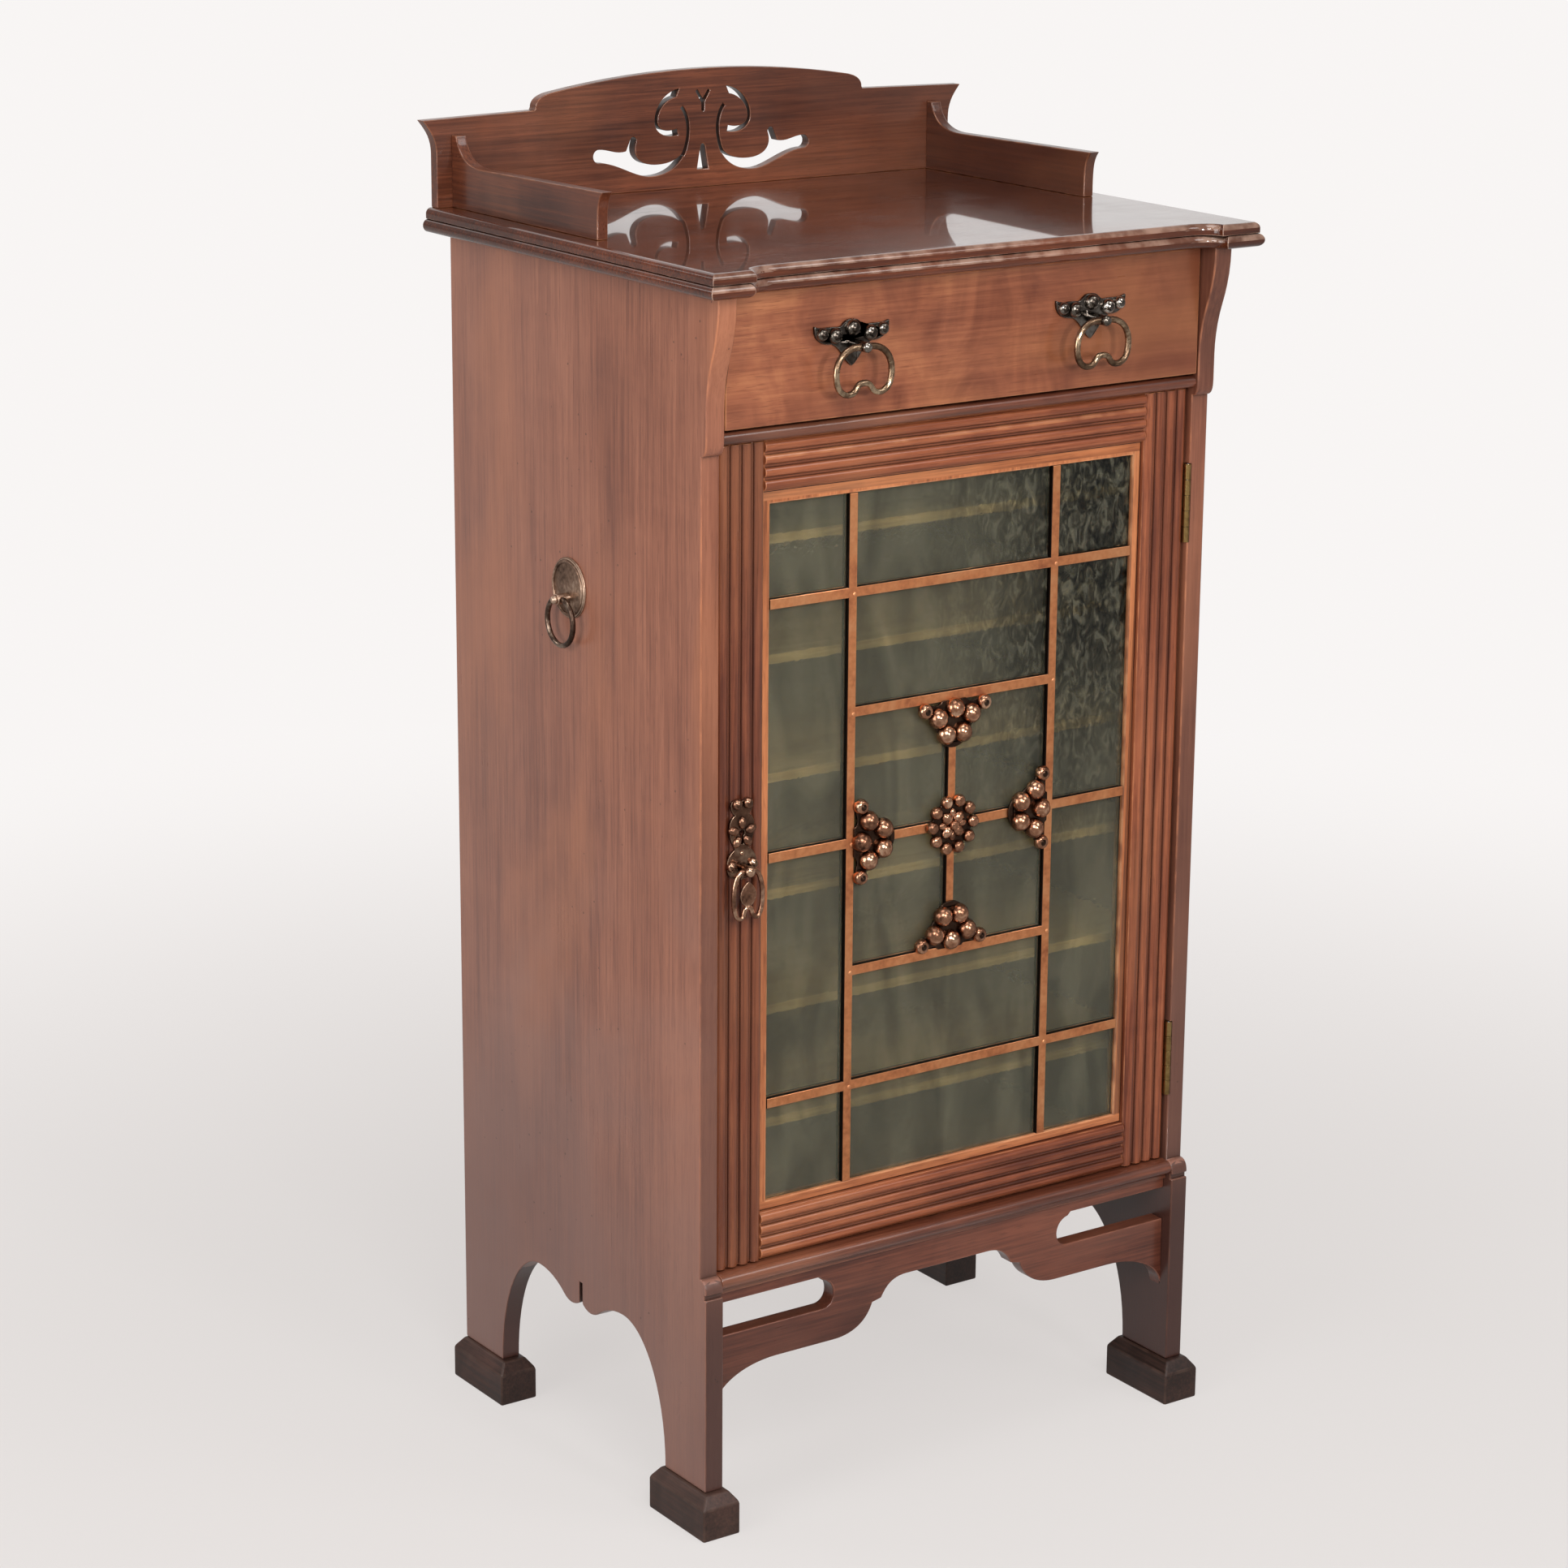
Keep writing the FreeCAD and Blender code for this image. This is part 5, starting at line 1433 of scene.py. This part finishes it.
@dataclass
class Studio:
    """Pale floor, soft lamps and the camera."""

    lamps: tuple[Lamp, ...] = (
        Lamp("key_lamp", (-0.9, -1.85, 1.7), 0.8, 26.0),
        Lamp("front_lamp", (0.1, -2.7, 1.35), 0.35, 22.0),
        Lamp("glint_lamp", (2.0, -3.0, 3.6), 1.4, 30.0),
        Lamp("rim_lamp", (-2.6, 2.8, 2.8), 1.4, 16.0),
        Lamp("side_lamp", (-3.0, -0.6, 1.35), 1.8, 46.0),
        Lamp("top_lamp", (-0.3, -0.5, 3.4), 1.5, 26.0),
    )
    floor_radius: float = 14.0
    floor_sides: int = 96
    floor_tone: Colour = (0.42, 0.405, 0.395)
    floor_near: Colour = (0.97, 0.925, 0.905)
    floor_roughness: float = 0.85
    floor_glow: float = 0.62
    wall_radius: float = 6.5
    wall_height: float = 7.0
    wall_start: float = -8.0
    wall_sweep: float = 104.0
    wall_steps: int = 64
    white: Colour = (0.94, 0.915, 0.905)
    soft_light: Colour = (0.3, 0.295, 0.29)
    mirrored: Colour = (0.3, 0.29, 0.285)
    mirrored_floor: Colour = (0.48, 0.47, 0.46)
    lens: float = 93.87
    sensor: float = 36.0
    eye: Point = (-1.9269, -2.70925, 1.4949)
    yaw: float = -34.676
    pitch: float = 15.808
    roll: float = 0.419

    def build(self) -> None:
        """Makes the floor, the light and the camera."""
        bpy.context.scene.view_settings.view_transform = "Standard"
        self.floor()
        self.wall()
        self.world()
        for lamp in self.lamps:
            lamp.hang()
        self.camera()

    def staged(self, name: str, work: Draft, recipe: Recipe, surface: Socket) -> None:
        """Stands a part of the studio round the cabinet.

        Args:
            name: Name of the part.
            work: Draft of its mesh.
            recipe: Its material.
            surface: Shader that shows.
        """
        recipe.feed(recipe.surface, surface)
        mesh = solid(name, work)
        mesh.materials.append(recipe.material)
        linked(name, mesh)

    def floor(self) -> None:
        """Lays a round floor that fades to the white of the backdrop."""
        work = bmesh.new()
        bmesh.ops.create_circle(work, cap_ends=True, radius=self.floor_radius, segments=self.floor_sides)
        recipe = Recipe("floor_paper")
        recipe.fixed(Base_Color=(*self.floor_tone, 1.0), Roughness=self.floor_roughness)
        distance = recipe.node("ShaderNodeVectorMath", {0: recipe.here()}, operation="LENGTH").outputs["Value"]
        paper = recipe.blend(recipe.span(distance, 0.5, 2.4), self.floor_near, self.white)
        share = recipe.times(recipe.span(distance, 0.5, 2.3, self.floor_glow, 1.0),
                             recipe.looked_at("Is Camera Ray", "Is Transmission Ray"))
        shown = recipe.layered(share, recipe.shader.outputs[0], recipe.glow(paper))
        glossy = recipe.looked_at("Is Glossy Ray")
        self.staged("floor", work, recipe, recipe.layered(glossy, shown, recipe.glow(self.mirrored_floor)))

    def wall(self) -> None:
        """Stands a curved white wall behind the cabinet that casts no light and no shadow."""
        work = bmesh.new()
        angles = [math.radians(self.wall_start + self.wall_sweep * i / self.wall_steps)
                  for i in range(self.wall_steps + 1)]
        skinned(work, [[work.verts.new((self.wall_radius * math.sin(a), self.wall_radius * math.cos(a), z))
                        for a in angles] for z in (0.0, self.wall_height)])
        recipe = Recipe("wall_paper")
        share = recipe.looked_at("Is Camera Ray", "Is Glossy Ray", "Is Transmission Ray")
        clear = recipe.out("ShaderNodeBsdfTransparent")
        self.staged("wall", work, recipe, recipe.layered(share, clear, recipe.glow(self.white)))

    def world(self) -> None:
        """Sets a soft even light, white to the eye and dim in polish and glass."""
        world = bpy.data.worlds.new("studio")
        world.use_nodes = True
        sky = Wiring(world.node_tree)
        seen = sky.node("ShaderNodeLightPath").outputs
        soft, mirrored, white = (sky.out("ShaderNodeBackground", {"Color": colour})
                                 for colour in (self.soft_light, self.mirrored, self.white))
        shown = sky.layered(seen["Is Glossy Ray"], soft, mirrored)
        sky.node("ShaderNodeOutputWorld", {0: sky.layered(seen["Is Camera Ray"], shown, white)})
        bpy.context.scene.world = world

    def camera(self) -> None:
        """Stands the camera at the front left, a little above the top."""
        yaw, pitch, roll = (math.radians(a) for a in (self.yaw, self.pitch, self.roll))
        back = Vector((math.sin(yaw) * math.cos(pitch), -math.cos(yaw) * math.cos(pitch), math.sin(pitch)))
        right = Vector((math.cos(yaw), math.sin(yaw), 0.0))
        up = back.cross(right)
        side = math.cos(roll) * right + math.sin(roll) * up
        head = math.cos(roll) * up - math.sin(roll) * right
        data = bpy.data.cameras.new("camera")
        data.lens = self.lens
        data.sensor_width = self.sensor
        camera = linked("camera", data)
        turn = Matrix((side, head, back)).transposed().to_4x4()
        camera.matrix_world = Matrix.Translation(self.eye) @ turn
        bpy.context.scene.camera = camera


def main() -> None:
    """Builds the sub-assemblies in order."""
    logging.basicConfig(level=logging.INFO, format="%(name)s %(message)s")
    bench = Bench()
    caster = Caster()
    for part in (Case, Gallery, Drawer):
        part(bench).build()
    for part in (GlazedDoor, Ornaments, DoorLock, DrawerHandles, SideRings, Hinges):
        part(bench, caster).build()
    Studio().build()


if __name__ == "__main__":
    main()
